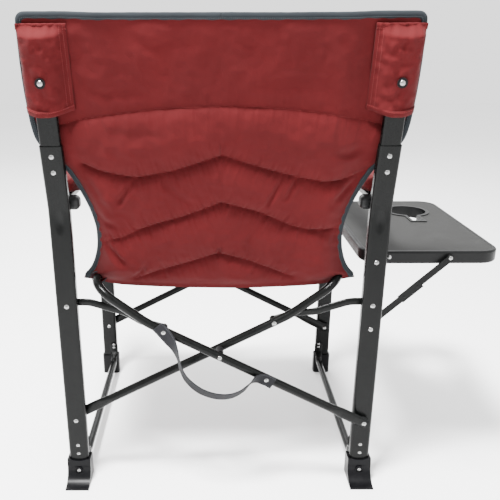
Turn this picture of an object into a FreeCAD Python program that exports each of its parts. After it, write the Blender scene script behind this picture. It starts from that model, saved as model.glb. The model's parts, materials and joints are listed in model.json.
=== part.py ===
import FreeCAD, Part
import math
import os

# Folding camp chair: padded director's chair with a fold-down side table.
# +Z up, the sitter faces -Y, left and right are +X and -X. Millimetres.

V = FreeCAD.Vector
doc = FreeCAD.newDocument("camp_chair")
sheet = doc.addObject("Spreadsheet::Sheet", "dims")

ROWS = [
    ("halfspan", 295, "leg centre from the middle plane"),
    ("legwide", 40, "rear leg width"),
    ("legdeep", 20, "rear leg depth"),
    ("legwall", 1.5, "rectangular tube wall"),
    ("legcorner", 6, "rectangular tube corner radius"),
    ("bendz", 585, "height of the bend in the rear leg"),
    ("recline", 11.6, "recline of the back post, degrees"),
    ("sleevetop", 706, "height of the rear leg's open top"),
    ("postwide", 36, "back post width"),
    ("postdeep", 16, "back post depth"),
    ("posttop", 882, "height of the back post's top"),
    ("frontline", -468, "front leg centre, Y"),
    ("frontwide", 37, "front leg width"),
    ("fronttop", 588, "front leg top"),
    ("crossrad", 8.5, "cross tube outer radius"),
    ("crossbore", 7.1, "cross tube inner radius"),
    ("flatwide", 22, "flattened tube end, width"),
    ("flatdeep", 8, "flattened tube end, thickness"),
    ("pinheight", 140.6, "lower cross pivot height"),
    ("centreheight", 293, "centre cross pivot height"),
    ("kneex", 140, "bend of the cross tube, X"),
    ("railx", 239, "seat rail centre, X"),
    ("railz", 440, "seat rail centre, Z"),
    ("bendrad", 45, "corner bend of the seat rail"),
    ("planegap", 19.5, "cross tube plane from the leg plane"),
    ("pinrad", 3.0, "pivot pin radius"),
    ("holerad", 3.05, "pivot hole radius"),
    ("linkx", 108.5, "link pin on the cross tube, X"),
    ("linkz", 395.0446, "link pin on the rear leg, Z"),
    ("linkwide", 15, "link section height"),
    ("linkdeep", 8, "link section depth"),
    ("baserad", 8, "base rail radius"),
    ("basez", 40, "base rail height"),
    ("railinx", 284, "base rail from the middle plane"),
    ("armz", 592, "underside of the arm tube"),
    ("padwide", 56, "arm pad width"),
    ("padinx", 290, "arm pad centre from the middle plane"),
    ("padhigh", 36, "arm pad height"),
    ("padlong", 420, "arm pad length"),
    ("tablepivot", 483, "table hinge height"),
    ("tableinner", -276, "table inner edge, X"),
    ("tableouter", -547, "table outer edge, X"),
    ("tablerear", -24, "table rear edge, Y"),
    ("tablefront", -450, "table front edge, Y"),
    ("tablethick", 25, "table edge thickness"),
    ("tablecorner", 40, "table corner radius"),
    ("cupx", -452, "cup hole centre, X"),
    ("cupy", -340, "cup hole centre, Y"),
    ("cuprad", 44, "cup hole radius"),
    ("strutarm", 149, "strut rivet distance from the table hinge, outwards"),
    ("strutdrop", 138, "strut pin distance below the table hinge"),
    ("seatthick", 22, "seat pad thickness"),
    ("backthick", 22, "back pad thickness"),
    ("footwide", 48, "rear foot width"),
    ("foothigh", 50, "rear foot height"),
    ("shiftx", 108.5, "model shift so that the origin is under the box centre"),
    ("shifty", 208.03, "model shift, Y"),
]
D = {}
for i, (name, val, note) in enumerate(ROWS, start=1):
    sheet.set("A%d" % i, name)
    sheet.set("B%d" % i, str(val))
    sheet.set("C%d" % i, note)
    sheet.setAlias("B%d" % i, name)
    D[name] = float(val)
doc.recompute()

G = V(D["shiftx"], D["shifty"], 0)
W = D["halfspan"]
REC = math.radians(D["recline"])
TR = math.tan(REC)
FINAL = []


def final(obj, label):
    obj.Label = label
    pl = obj.Placement
    obj.Placement = FreeCAD.Placement(pl.Base + G, pl.Rotation)
    FINAL.append(obj)
    return obj


def feat(name, shape):
    o = doc.addObject("Part::Feature", name)
    o.Shape = shape
    return o


def bind(obj, **kw):
    for prop, ex in kw.items():
        obj.setExpression(prop, ex)
    return obj


def box(name, lx, ly, lz, pos, rot=None):
    """Part box centred in X and Y on pos, standing on it; sizes are sheet expressions."""
    o = doc.addObject("Part::Box", name)
    bind(o, Length=lx, Width=ly, Height=lz)
    doc.recompute()
    off = V(-o.Length.Value / 2, -o.Width.Value / 2, 0)
    r = rot or FreeCAD.Rotation()
    o.Placement = FreeCAD.Placement(V(*pos) + r.multVec(off), r)
    return o


def cyl(name, rad, height, pos, axis=(0, 0, 1)):
    o = doc.addObject("Part::Cylinder", name)
    bind(o, Radius=rad, Height=height)
    o.Placement = FreeCAD.Placement(V(*pos), FreeCAD.Rotation(V(0, 0, 1), V(*axis)))
    return o


def cut(name, a, b):
    o = doc.addObject("Part::Cut", name)
    o.Base = a
    o.Tool = b
    return o


def fuse(name, parts):
    o = doc.addObject("Part::MultiFuse", name)
    o.Shapes = parts
    o.Refine = True
    return o


def common(name, parts):
    o = doc.addObject("Part::MultiCommon", name)
    o.Shapes = parts
    return o


def fillet(name, base, pick, rad):
    doc.recompute()
    f = doc.addObject("Part::Fillet", name)
    f.Base = base
    f.Edges = [(i + 1, rad, rad) for i, e in enumerate(base.Shape.Edges) if pick(e)]
    return f


def along(axis):
    def pick(e):
        t = e.tangentAt(e.FirstParameter)
        return abs(t.dot(V(*axis))) > 0.999 and e.Curve.TypeId == "Part::GeomLine"
    return pick


def path(pts, rads):
    """Wire of straight runs with tangent arcs at the inner points."""
    P = [V(*p) for p in pts]
    edges = []
    start = P[0]
    for i in range(1, len(P) - 1):
        r = rads[i - 1]
        a = (P[i - 1] - P[i]).normalize()
        b = (P[i + 1] - P[i]).normalize()
        half = math.acos(max(-1, min(1, a.dot(b)))) / 2
        t = r / math.tan(half)
        p1 = P[i] + a * t
        p2 = P[i] + b * t
        bis = (a + b).normalize()
        c = P[i] + bis * (r / math.sin(half))
        mid = c - bis * r
        if (p1 - start).Length > 1e-6:
            edges.append(Part.LineSegment(start, p1).toShape())
        edges.append(Part.Arc(p1, mid, p2).toShape())
        start = p2
    if (P[-1] - start).Length > 1e-3:
        edges.append(Part.LineSegment(start, P[-1]).toShape())
    return Part.Wire(edges)


def sweep(name, section, wire):
    sp = feat(name + "_line", wire)
    o = doc.addObject("Part::Sweep", name)
    o.Sections = [section]
    o.Spine = (sp, ["Edge%d" % (k + 1) for k in range(len(wire.Edges))])
    o.Solid = True
    o.Frenet = False
    return o


def ring(name, rad, pos, axis):
    o = doc.addObject("Part::Circle", name)
    bind(o, Radius=rad)
    o.Placement = FreeCAD.Placement(V(*pos), FreeCAD.Rotation(V(0, 0, 1), V(*axis)))
    return o


def rrect(name, w, d, r, pos, axis=(0, 0, 1)):
    """Sketch of a rounded rectangle, w along X and d along Y before it is placed."""
    sk = doc.addObject("Sketcher::SketchObject", name)
    x, y = w / 2, d / 2
    g = []
    g.append(Part.LineSegment(V(-x + r, -y, 0), V(x - r, -y, 0)))
    g.append(Part.ArcOfCircle(Part.Circle(V(x - r, -y + r, 0), V(0, 0, 1), r), -math.pi / 2, 0))
    g.append(Part.LineSegment(V(x, -y + r, 0), V(x, y - r, 0)))
    g.append(Part.ArcOfCircle(Part.Circle(V(x - r, y - r, 0), V(0, 0, 1), r), 0, math.pi / 2))
    g.append(Part.LineSegment(V(x - r, y, 0), V(-x + r, y, 0)))
    g.append(Part.ArcOfCircle(Part.Circle(V(-x + r, y - r, 0), V(0, 0, 1), r), math.pi / 2, math.pi))
    g.append(Part.LineSegment(V(-x, y - r, 0), V(-x, -y + r, 0)))
    g.append(Part.ArcOfCircle(Part.Circle(V(-x + r, -y + r, 0), V(0, 0, 1), r), math.pi, 1.5 * math.pi))
    sk.addGeometry(g, False)
    sk.Placement = FreeCAD.Placement(V(*pos), FreeCAD.Rotation(V(0, 0, 1), V(*axis)))
    return sk


def dome(pos, axis, r=4.6, hgt=2.4):
    """Domed rivet head, flat face at pos, dome pointing along axis."""
    R = (r * r + hgt * hgt) / (2 * hgt)
    lat = math.degrees(math.asin((R - hgt) / R))
    s = Part.makeSphere(R, V(0, 0, -(R - hgt)), V(0, 0, 1), lat, 90, 360)
    s.Placement = FreeCAD.Placement(V(*pos), FreeCAD.Rotation(V(0, 0, 1), V(*axis))).multiply(s.Placement)
    return s


def rod(p, q, r):
    p, q = V(*p), V(*q)
    return Part.makeCylinder(r, (q - p).Length, p, q - p)


def pin(y0, y1, x, z, r=None, head0=True, head1=True, hr=4.6, hh=2.4):
    """Rivet along Y between the outer faces y0 (front) and y1 (rear), with domed heads outside them."""
    r = r or D["pinrad"]
    s = rod((x, y0, z), (x, y1, z), r)
    if head0:
        s = s.fuse(dome((x, y0, z), (0, -1, 0), hr, hh))
    if head1:
        s = s.fuse(dome((x, y1, z), (0, 1, 0), hr, hh))
    return s.removeSplitter()


def washer(y0, y1, x, z, ro, ri):
    return rod((x, y0, z), (x, y1, z), ro).cut(rod((x, y0 - 1, z), (x, y1 + 1, z), ri))


def py(z):
    """Y of the back post's centre line at height z (the straight line through the bend)."""
    return (z - D["bendz"]) * TR


def onpost(x, u, v):
    """Point u beside and v along the post line, measured from the bend, x across."""
    return V(x, u * math.cos(REC) + v * math.sin(REC), D["bendz"] - u * math.sin(REC) + v * math.cos(REC))


POSTROT = FreeCAD.Rotation(V(1, 0, 0), -D["recline"])
SL = (D["sleevetop"] - D["bendz"]) / math.cos(REC)
PL = (D["posttop"] - D["bendz"]) / math.cos(REC)
F = D["frontline"]
PZ = D["pinheight"]
CZ = D["centreheight"]
slope = (CZ - PZ) / W
GAP = D["planegap"]
hd = D["legdeep"] / 2
PLANES = {("a", "rear"): GAP, ("a", "front"): F + GAP, ("b", "rear"): -GAP, ("b", "front"): F - GAP}


def holes(points, rad=None):
    rad = rad or D["holerad"]
    return Part.makeCompound([rod((x, y0, z), (x, y1, z), rad) for (x, y0, y1, z) in points])


# ---------------------------------------------------------------- side frames
for side, s in (("left", 1), ("right", -1)):
    X = s * W
    # rear leg: flattened steel tube, upright to the bend and reclined above it
    line = path([(X, 0, 14), (X, 0, D["bendz"]), tuple(onpost(X, 0, SL))], [150])
    outer = sweep("rear_leg_outer_" + side, rrect("leg_profile_" + side, D["legwide"], D["legdeep"], D["legcorner"], (X, 0, 14)), line)
    inner = sweep("rear_leg_inner_" + side, rrect("leg_core_" + side, D["legwide"] - 2 * D["legwall"], D["legdeep"] - 2 * D["legwall"], D["legcorner"] - D["legwall"], (X, 0, 14)), line)
    tube = cut("rear_leg_tube_" + side, outer, inner)
    hl = [(X, -15, 15, PZ), (X, -15, 15, D["linkz"])]
    if side == "right":
        hl += [(X, -15, 15, D["tablepivot"]), (X, -15, 15, D["tablepivot"] - D["strutdrop"])]
    final(cut("rear_leg_" + side, tube, feat("rear_leg_holes_" + side, holes(hl))), "rear_leg_" + side)

    # back post: narrower tube telescoped into the leg
    pb = onpost(X, 0, 30)
    po = box("post_outer_" + side, "dims.postwide", "dims.postdeep", "(dims.posttop - dims.bendz)/cos(dims.recline) - 30", tuple(pb), POSTROT)
    pf = fillet("post_round_" + side, po, along((0, math.sin(REC), math.cos(REC))), 5)
    pi = box("post_inner_" + side, "dims.postwide - 3", "dims.postdeep - 3", "(dims.posttop - dims.bendz)/cos(dims.recline) - 30", tuple(pb), POSTROT)
    final(cut("back_post_" + side, pf, pi), "back_post_" + side)
    # plug in the post's top
    c1 = box("cap_top_" + side, "dims.postwide + 1", "dims.postdeep + 1", "4", tuple(onpost(X, 0, PL)), POSTROT)
    c1f = fillet("cap_round_" + side, c1, along((0, math.sin(REC), math.cos(REC))), 5)
    c2 = box("cap_plug_" + side, "dims.postwide - 8", "dims.postdeep - 8", "16.2", tuple(onpost(X, 0, PL - 16)), POSTROT)
    final(fuse("post_cap_" + side, [c1f, c2]), "post_cap_" + side)

    # front leg
    fo = box("front_outer_" + side, "dims.frontwide", "dims.legdeep", "dims.fronttop - 8", (X, F, 8))
    ff = fillet("front_round_" + side, fo, along((0, 0, 1)), D["legcorner"])
    fi = box("front_inner_" + side, "dims.frontwide - 2*dims.legwall", "dims.legdeep - 2*dims.legwall", "dims.fronttop - 8", (X, F, 8))
    fc = cut("front_tube_" + side, ff, fi)
    fh = [(X, F - 15, F + 15, PZ)]
    if side == "right":
        fh.append((X, F - 15, F + 15, D["tablepivot"]))
    final(cut("front_leg_" + side, fc, feat("front_leg_holes_" + side, holes(fh))), "front_leg_" + side)

    # arm tube between the rear leg and the front elbow
    at = doc.addObject("Part::Box", "arm_tube_outer_" + side)
    bind(at, Length="30", Width="-dims.frontline - 24 - 38.4", Height="14")
    doc.recompute()
    at.Placement = FreeCAD.Placement(V(X - 15, F + 24, D["armz"]), FreeCAD.Rotation())
    atf = fillet("arm_tube_round_" + side, at, along((0, 1, 0)), 4)
    ai = doc.addObject("Part::Box", "arm_tube_inner_" + side)
    bind(ai, Length="27", Width="-dims.frontline - 24 - 38.4", Height="11")
    ai.Placement = FreeCAD.Placement(V(X - 13.5, F + 24, D["armz"] + 1.5), FreeCAD.Rotation())
    final(cut("arm_tube_" + side, atf, ai), "arm_tube_" + side)

    # plastic elbow on the front leg
    eb = box("elbow_block_" + side, "44", "44", "30", (X, F + 2, D["armz"] - 14.2))
    ebf = fillet("elbow_round_" + side, eb, lambda e: e.Curve.TypeId == "Part::GeomLine", 8)
    ek = box("elbow_pocket_" + side, "dims.frontwide + 0.6", "dims.legdeep + 0.6", "dims.fronttop - dims.armz + 14.6", (X, F, D["armz"] - 14.6))
    final(cut("arm_elbow_" + side, ebf, ek), "arm_elbow_" + side)

    # plastic bracket joining the arm to the rear leg
    br = box("bracket_block_" + side, "55", "28", "26", (s * 288.5, -24.4, 580))
    brf = fillet("bracket_round_" + side, br, lambda e: e.Curve.TypeId == "Part::GeomLine", 9)
    # the bracket's rear face follows the leg's bend
    lk = feat("bracket_relief_" + side, Part.makeBox(D["legwide"] + 0.8, 30, 100, V(X - D["legwide"] / 2 - 0.4, -hd - 0.6, 560)))
    final(cut("arm_bracket_" + side, brf, lk), "arm_bracket_" + side)

    # padded arm rest over the tube
    apd = doc.addObject("Part::Box", "arm_pad_block_" + side)
    bind(apd, Length="dims.padwide", Width="-dims.frontline - 24.5 - 14", Height="dims.padhigh")
    doc.recompute()
    apd.Placement = FreeCAD.Placement(V(s * D["padinx"] - D["padwide"] / 2, F + 24.5, D["armz"] + 14.3), FreeCAD.Rotation())
    final(fillet("arm_pad_" + side, apd, lambda e: e.Curve.TypeId == "Part::GeomLine", 10), "arm_pad_" + side)

    # base rail: round tube, its ends turned up along the legs and flattened
    R = D["baserad"]
    XR = s * D["railinx"]
    yr, yf = -24.0, F + 22.2
    line = path([(XR, yr, 56), (XR, yr, D["basez"]), (XR, yf, D["basez"]), (XR, yf, 56)], [14, 14])
    bo = sweep("base_rail_outer_" + side, ring("base_ring_" + side, "dims.baserad", (XR, yr, 56), (0, 0, -1)), line)
    bi = sweep("base_rail_inner_" + side, ring("base_bore_" + side, "dims.baserad - 1.4", (XR, yr, 56), (0, 0, -1)), line)
    ends = []
    for y0, fy in ((yr, -hd - 2.3), (yf, F + hd + 2.3)):
        c = Part.Wire(Part.Circle(V(XR, y0, 56), V(0, 0, 1), R).toShape())
        e = Part.Ellipse(V(XR, fy, 66), 10.5, 2.0)
        ew = Part.Wire(e.toShape())
        ends.append(Part.makeLoft([c, ew], True))
        plate = Part.Face(ew).extrude(V(0, 0, 26))
        tip = Part.makeBox(24, 6, 15, V(XR - 12, fy - 3, 66)).fuse(Part.makeCylinder(11, 6, V(XR, fy - 3, 81), V(0, 1, 0)))
        ends.append(plate.common(tip))
    br1 = cut("base_rail_tube_" + side, bo, bi)
    final(fuse("base_rail_" + side, [br1, feat("base_rail_ends_" + side, ends[0].fuse(ends[1])), feat("base_rail_ends2_" + side, ends[2].fuse(ends[3]))]), "base_rail_" + side)

    # rear foot: moulded shoe with a flared heel
    fw = D["footwide"]
    prof = [(-15, 0), (-15, D["foothigh"] - 6), (-14, D["foothigh"]), (14, D["foothigh"]), (15, D["foothigh"] - 8), (16, 36)]
    curve = Part.Arc(V(0, 16, 36), V(0, 24, 13), V(0, 50, 4)).toShape()
    pts = [V(0, a, b) for a, b in prof]
    ed = [Part.LineSegment(V(0, 50, 0), V(0, -15, 0)).toShape()]
    ed += [Part.LineSegment(pts[k], pts[k + 1]).toShape() for k in range(len(pts) - 1)]
    ed += [curve, Part.LineSegment(V(0, 50, 4), V(0, 50, 0)).toShape()]
    face = Part.Face(Part.Wire(Part.__sortEdges__(ed)))
    face.translate(V(X - fw / 2, 0, 0))
    shoe = doc.addObject("Part::Extrusion", "rear_foot_block_" + side)
    shoe.Base = feat("rear_foot_profile_" + side, face)
    shoe.DirMode = "Custom"
    shoe.Dir = V(1, 0, 0)
    bind(shoe, LengthFwd="dims.footwide")
    shoe.Solid = True
    shf = fillet("rear_foot_soft_" + side, shoe, lambda e: e.Curve.TypeId == "Part::GeomLine" and e.BoundBox.ZLength < 0.01 and e.BoundBox.XLength < 0.01 and e.BoundBox.ZMin < 1 and e.BoundBox.YLength > 20, 1.5)
    cavity = Part.makeBox(D["legwide"] + 0.6, D["legdeep"] + 0.6, 100, V(X - D["legwide"] / 2 - 0.3, -hd - 0.3, 13.7))
    # the top rim dips in a shallow U across the rear and the front
    dip = Part.makeCylinder(40, 60, V(X, -30, D["foothigh"] + 36.5), V(0, 1, 0))
    cav2 = cavity.fuse(dip)
    sf = cut("rear_foot_shell_" + side, shf, feat("rear_foot_cavity_" + side, cav2))
    boss = Part.makeCylinder(8, 4, V(X, 15, 26), V(0, 1, 0)).fuse(Part.makeCylinder(8, 3, V(X, 13.0, 26), V(0, 1, 0)))
    final(fuse("rear_foot_" + side, [sf, feat("rear_foot_boss_" + side, boss)]), "rear_foot_" + side)

    # front foot cap
    fb = box("front_foot_block_" + side, "dims.frontwide + 7", "dims.legdeep + 7", "54", (X, F, 0))
    fbf = fillet("front_foot_round_" + side, fb, along((0, 0, 1)), 7)
    fbc = box("front_foot_cavity_" + side, "dims.frontwide + 0.6", "dims.legdeep + 0.6", "60", (X, F, 7.7))
    final(cut("front_foot_" + side, fbf, fbc), "front_foot_" + side)

    # rivets that join fixed pieces of the side frame
    riv = []
    for z in (687.8, 658.8):
        v = (z - D["bendz"]) / math.cos(REC)
        p, q = onpost(X, -hd, v), onpost(X, hd, v)
        n = onpost(0, 1, 0) - onpost(0, 0, 0)
        riv.append(dome(tuple(q), tuple(n)))
        riv.append(dome(tuple(p), tuple(n * -1)))
    for z in (81.5, 61.5):
        riv.append(dome((X, hd, z), (0, 1, 0), 3.8, 2.0))
    for z in (88, 79):
        riv.append(dome((X, F - hd, z), (0, -1, 0), 3.4, 1.8))
        riv.append(dome((XR, F + hd + 4.35, z), (0, 1, 0), 3.4, 1.8))
    riv.append(dome((X, 19.0, 26), (0, 1, 0), 3.8, 2.2))
    final(feat("frame_rivets_" + side, Part.makeCompound(riv)), "frame_rivets_" + side)

    # screw and washer that hold the back's sleeve to the post
    v = (814.3 - D["bendz"]) / math.cos(REC)
    n = onpost(0, 1, 0) - onpost(0, 0, 0)
    base = onpost(X, 17.2, v)
    wsh = Part.makeCylinder(8.5, 1.6, base, n)
    scr = dome(tuple(base + n * 1.6), tuple(n), 5.2, 3.0)
    final(feat("back_screw_" + side, wsh.fuse(scr)), "back_screw_" + side)

    # lower cross pivots, link pin and their spacers; heads on the outer faces
    if side == "left":
        pins = [pin(-GAP - 4.4, hd, X, PZ), pin(F - GAP - 4.4, F + hd, X, PZ), pin(-19.4, hd, X, D["linkz"], 2.5, hh=1.8)]
        sp = [washer(-15.2, -hd - 0.05, X, PZ, 9, 3.4), washer(F - 15.2, F - hd - 0.05, X, PZ, 9, 3.4)]
    else:
        pins = [pin(-hd, GAP + 4.4, X, PZ), pin(F - hd, F + GAP + 4.4, X, PZ), pin(-19.4, hd, X, D["linkz"], 2.5, hh=1.8)]
        sp = [washer(hd + 0.05, 15.2, X, PZ, 9, 3.4), washer(F + hd + 0.05, F + 15.2, X, PZ, 9, 3.4)]
        # the table hinge's washers sit on the same frame
        sp += [washer(D["tablerear"] + 0.4, -hd - 0.05, -W, D["tablepivot"], 8, 3.4), washer(F + hd + 0.05, D["tablefront"] - 0.4, -W, D["tablepivot"], 8, 3.4)]
    final(feat("pivot_pins_" + side, Part.makeCompound(pins)), "pivot_pins_" + side)
    final(feat("pivot_spacers_" + side, Part.makeCompound(sp)), "pivot_spacers_" + side)

# ---------------------------------------------------------------- cross frames
for fr, s in (("a", 1), ("b", -1)):
    ang = math.degrees(math.atan(slope))
    beta = ang if s > 0 else 180 - ang
    rot = FreeCAD.Rotation(V(0, 1, 0), -beta)
    for end in ("rear", "front"):
        y = PLANES[(fr, end)]
        nm = "cross_leg_%s_%s" % (fr, end)
        P = V(-s * W, y, PZ)
        d = V(s * math.cos(math.radians(ang)), 0, math.sin(math.radians(ang)))
        # flattened lower end with a rounded tip
        el = doc.addObject("Part::Ellipse", nm + "_oval")
        bind(el, MajorRadius="dims.flatwide/2", MinorRadius="dims.flatdeep/2")
        el.Placement = FreeCAD.Placement(P - d * 14, rot.multiply(FreeCAD.Rotation(V(0, 1, 0), 90)))
        ex = doc.addObject("Part::Extrusion", nm + "_flat")
        ex.Base = el
        ex.DirMode = "Custom"
        ex.Dir = d
        ex.LengthFwd = 66
        ex.Solid = True
        tip = Part.makeBox(60, 30, 24, V(0, -15, -12)).fuse(Part.makeCylinder(11.0, 30, V(0, -15, 0), V(0, 1, 0)))
        tip.Placement = FreeCAD.Placement(P, rot)
        flat = common(nm + "_tip", [ex, feat(nm + "_tiptool", tip)])
        el2 = doc.addObject("Part::Ellipse", nm + "_oval2")
        bind(el2, MajorRadius="dims.flatwide/2", MinorRadius="dims.flatdeep/2")
        el2.Placement = FreeCAD.Placement(P + d * 52, rot.multiply(FreeCAD.Rotation(V(0, 1, 0), 90)))
        ci = ring(nm + "_round", "dims.crossrad", tuple(P + d * 80), tuple(d))
        ci.Placement = FreeCAD.Placement(P + d * 80, rot.multiply(FreeCAD.Rotation(V(0, 1, 0), 90)))
        lo = doc.addObject("Part::Loft", nm + "_taper")
        lo.Sections = [el2, ci]
        lo.Solid = True
        lo.Ruled = False
        # round tube up to the seat rail
        K = V(s * D["kneex"], y, CZ + D["kneex"] * slope)
        C = V(s * D["railx"], y, D["railz"])
        sg = -1 if end == "rear" else 1
        E = C + V(0, sg * D["bendrad"], 0)
        line = path([tuple(P + d * 80), tuple(K), tuple(C), tuple(E)], [200, D["bendrad"]])
        to = sweep(nm + "_tube", ring(nm + "_ring", "dims.crossrad", tuple(P + d * 80), tuple(d)), line)
        ti = sweep(nm + "_hollow", ring(nm + "_bore", "dims.crossbore", tuple(P + d * 80), tuple(d)), line)
        tb = cut(nm + "_pipe", to, ti)
        al = fuse(nm + "_all", [flat, lo, tb])
        hl = [(P.x, y - 20, y + 20, PZ), (0, y - 20, y + 20, CZ)]
        h2 = holes(hl)
        if end == "rear":
            zl = CZ + D["linkx"] * slope
            extra = [rod((s * D["linkx"], y - 20, zl), (s * D["linkx"], y + 20, zl), 2.55)]
            if fr == "a":
                extra.append(rod((-92, y - 20, CZ - 92 * slope), (-92, y + 20, CZ - 92 * slope), 2.55))
            h2 = Part.makeCompound([h2] + extra)
        final(cut(nm, al, feat(nm + "_holes", h2)), nm)
    # seat rail
    y0 = PLANES[(fr, "rear")] - D["bendrad"] - 0.02
    y1 = PLANES[(fr, "front")] + D["bendrad"] + 0.02
    so = cyl("seat_rail_outer_" + fr, "dims.crossrad", "-dims.frontline - 2*dims.bendrad - 0.04", (s * D["railx"], y1, D["railz"]), (0, 1, 0))
    si = cyl("seat_rail_inner_" + fr, "dims.crossbore", "-dims.frontline - 2*dims.bendrad - 0.04", (s * D["railx"], y1, D["railz"]), (0, 1, 0))
    final(cut("seat_rail_" + fr, so, si), "seat_rail_" + fr)

# centre pivots with their spacers (on cross frame A)
cp, cs = [], []
for y in (0, F):
    cp.append(pin(y - GAP - 8.9, y + GAP + 8.5, 0, CZ))
    cs.append(washer(y - GAP + 8.9, y + GAP - 8.55, 0, CZ, 8, 3.4))
final(feat("centre_pivots", Part.makeCompound(cp)), "centre_pivots")
final(feat("centre_spacers", Part.makeCompound(cs)), "centre_spacers")


# ---------------------------------------------------------------- links
def link(name, s, yend):
    """Curved flattened tube from the rear leg's front face to the cross tube, stepped sideways."""
    zl = CZ + D["linkx"] * slope
    A = V(s * W, -15, D["linkz"])
    B = V(s * (W - 40), -15, D["linkz"])
    E = V(s * D["linkx"], yend, zl)
    dv = V(E.x - B.x, 0, E.z - B.z)
    L = dv.Length
    dv.normalize()
    C1 = B + dv * (112 - 40)
    C2 = B + dv * (146 - 40)
    C2.y = yend
    wire = path([tuple(A), tuple(B), tuple(C1), tuple(C2), tuple(E)], [70, 22, 22])
    el = Part.Ellipse(V(0, 0, 0), D["linkwide"] / 2, D["linkdeep"] / 2)
    w = Part.Wire(el.toShape())
    # major axis up (Z), minor axis along Y
    w.Placement = FreeCAD.Placement(A, FreeCAD.Rotation(V(0, 1, 0), 90))
    ps = Part.BRepOffsetAPI.MakePipeShell(wire)
    ps.setBiNormalMode(V(0, 1, 0))
    ps.add(w)
    ps.build()
    ps.makeSolid()
    body = ps.shape()
    ends = []
    for p in (A, E):
        e2 = Part.makeCylinder(D["linkwide"] / 2, D["linkdeep"] - 1.0, V(p.x, p.y - (D["linkdeep"] - 1.0) / 2, p.z), V(0, 1, 0))
        ends.append(e2)
    sh = body.fuse(ends[0]).fuse(ends[1]).removeSplitter()
    sh = sh.cut(rod((A.x, -40, A.z), (A.x, 20, A.z), 2.55))
    sh = sh.fuse(dome((E.x, E.y - D["linkdeep"] / 2 + 0.5, E.z), (0, -1, 0), 4.0, 1.8))
    return sh


YL, YR = 5.0, -33.6
final(feat("link_left", link("link_left", 1, YL)), "link_left")
final(feat("link_right", link("link_right", -1, YR)), "link_right")
zl = CZ + D["linkx"] * slope
# the loop of each link is opened here: the pin stops short of the link
lp = [pin(9.5, GAP + 10.6, D["linkx"], zl, 2.5, head0=False, hh=1.8), washer(9.5, 10.9, D["linkx"], zl, 6, 2.5)]
final(feat("link_pin_left", lp[0].fuse(lp[1])), "link_pin_left")
lq = [pin(-29.2, -GAP + 8.5, -D["linkx"], zl, 2.5, head0=False, hh=1.8), washer(-29.2, -28.1, -D["linkx"], zl, 6, 2.5)]
final(feat("link_pin_right", lq[0].fuse(lq[1])), "link_pin_right")

# ---------------------------------------------------------------- carry strap
ys = GAP + 8.5
za, zb = CZ + D["linkx"] * slope, CZ - 92 * slope
tabs = []
for (x, z, a0) in ((D["linkx"], za, 40), (-92, zb, 200)):
    t = Part.makeBox(44, 1.6, 25, V(-14, 0, -12.5))
    t = t.cut(rod((0, -1, 0), (0, 3, 0), 2.7))
    t.Placement = FreeCAD.Placement(V(x, ys + 0.4, z), FreeCAD.Rotation(V(0, 1, 0), a0))
    tabs.append(t)
# the hanging loop, on edge
loop = path([(86, ys + 14, 316), (72, ys + 14, 262), (36, ys + 14, 203), (-20, ys + 14, 191), (-62, ys + 14, 219), (-72, ys + 14, 232)], [60, 60, 60, 30])
lw = Part.Wire([Part.LineSegment(a, b).toShape() for a, b in zip(
    [V(-0.8, -12.5, 0), V(0.8, -12.5, 0), V(0.8, 12.5, 0), V(-0.8, 12.5, 0)],
    [V(0.8, -12.5, 0), V(0.8, 12.5, 0), V(-0.8, 12.5, 0), V(-0.8, -12.5, 0)])])
t0 = loop.Edges[0].tangentAt(loop.Edges[0].FirstParameter)
lw.Placement = FreeCAD.Placement(V(86, ys + 14, 316), FreeCAD.Rotation(V(0, 0, 1), V(0, 0, -1)).multiply(FreeCAD.Rotation()))
ps = Part.BRepOffsetAPI.MakePipeShell(loop)
ps.setBiNormalMode(V(0, 1, 0))
ps.add(lw)
ps.build()
ps.makeSolid()
final(feat("carry_strap", Part.makeCompound([ps.shape()] + tabs)), "carry_strap")
final(feat("strap_rivet", pin(GAP - 8.5, ys + 2.1, -92, zb, 2.5, hh=1.8)), "strap_rivet")

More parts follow.
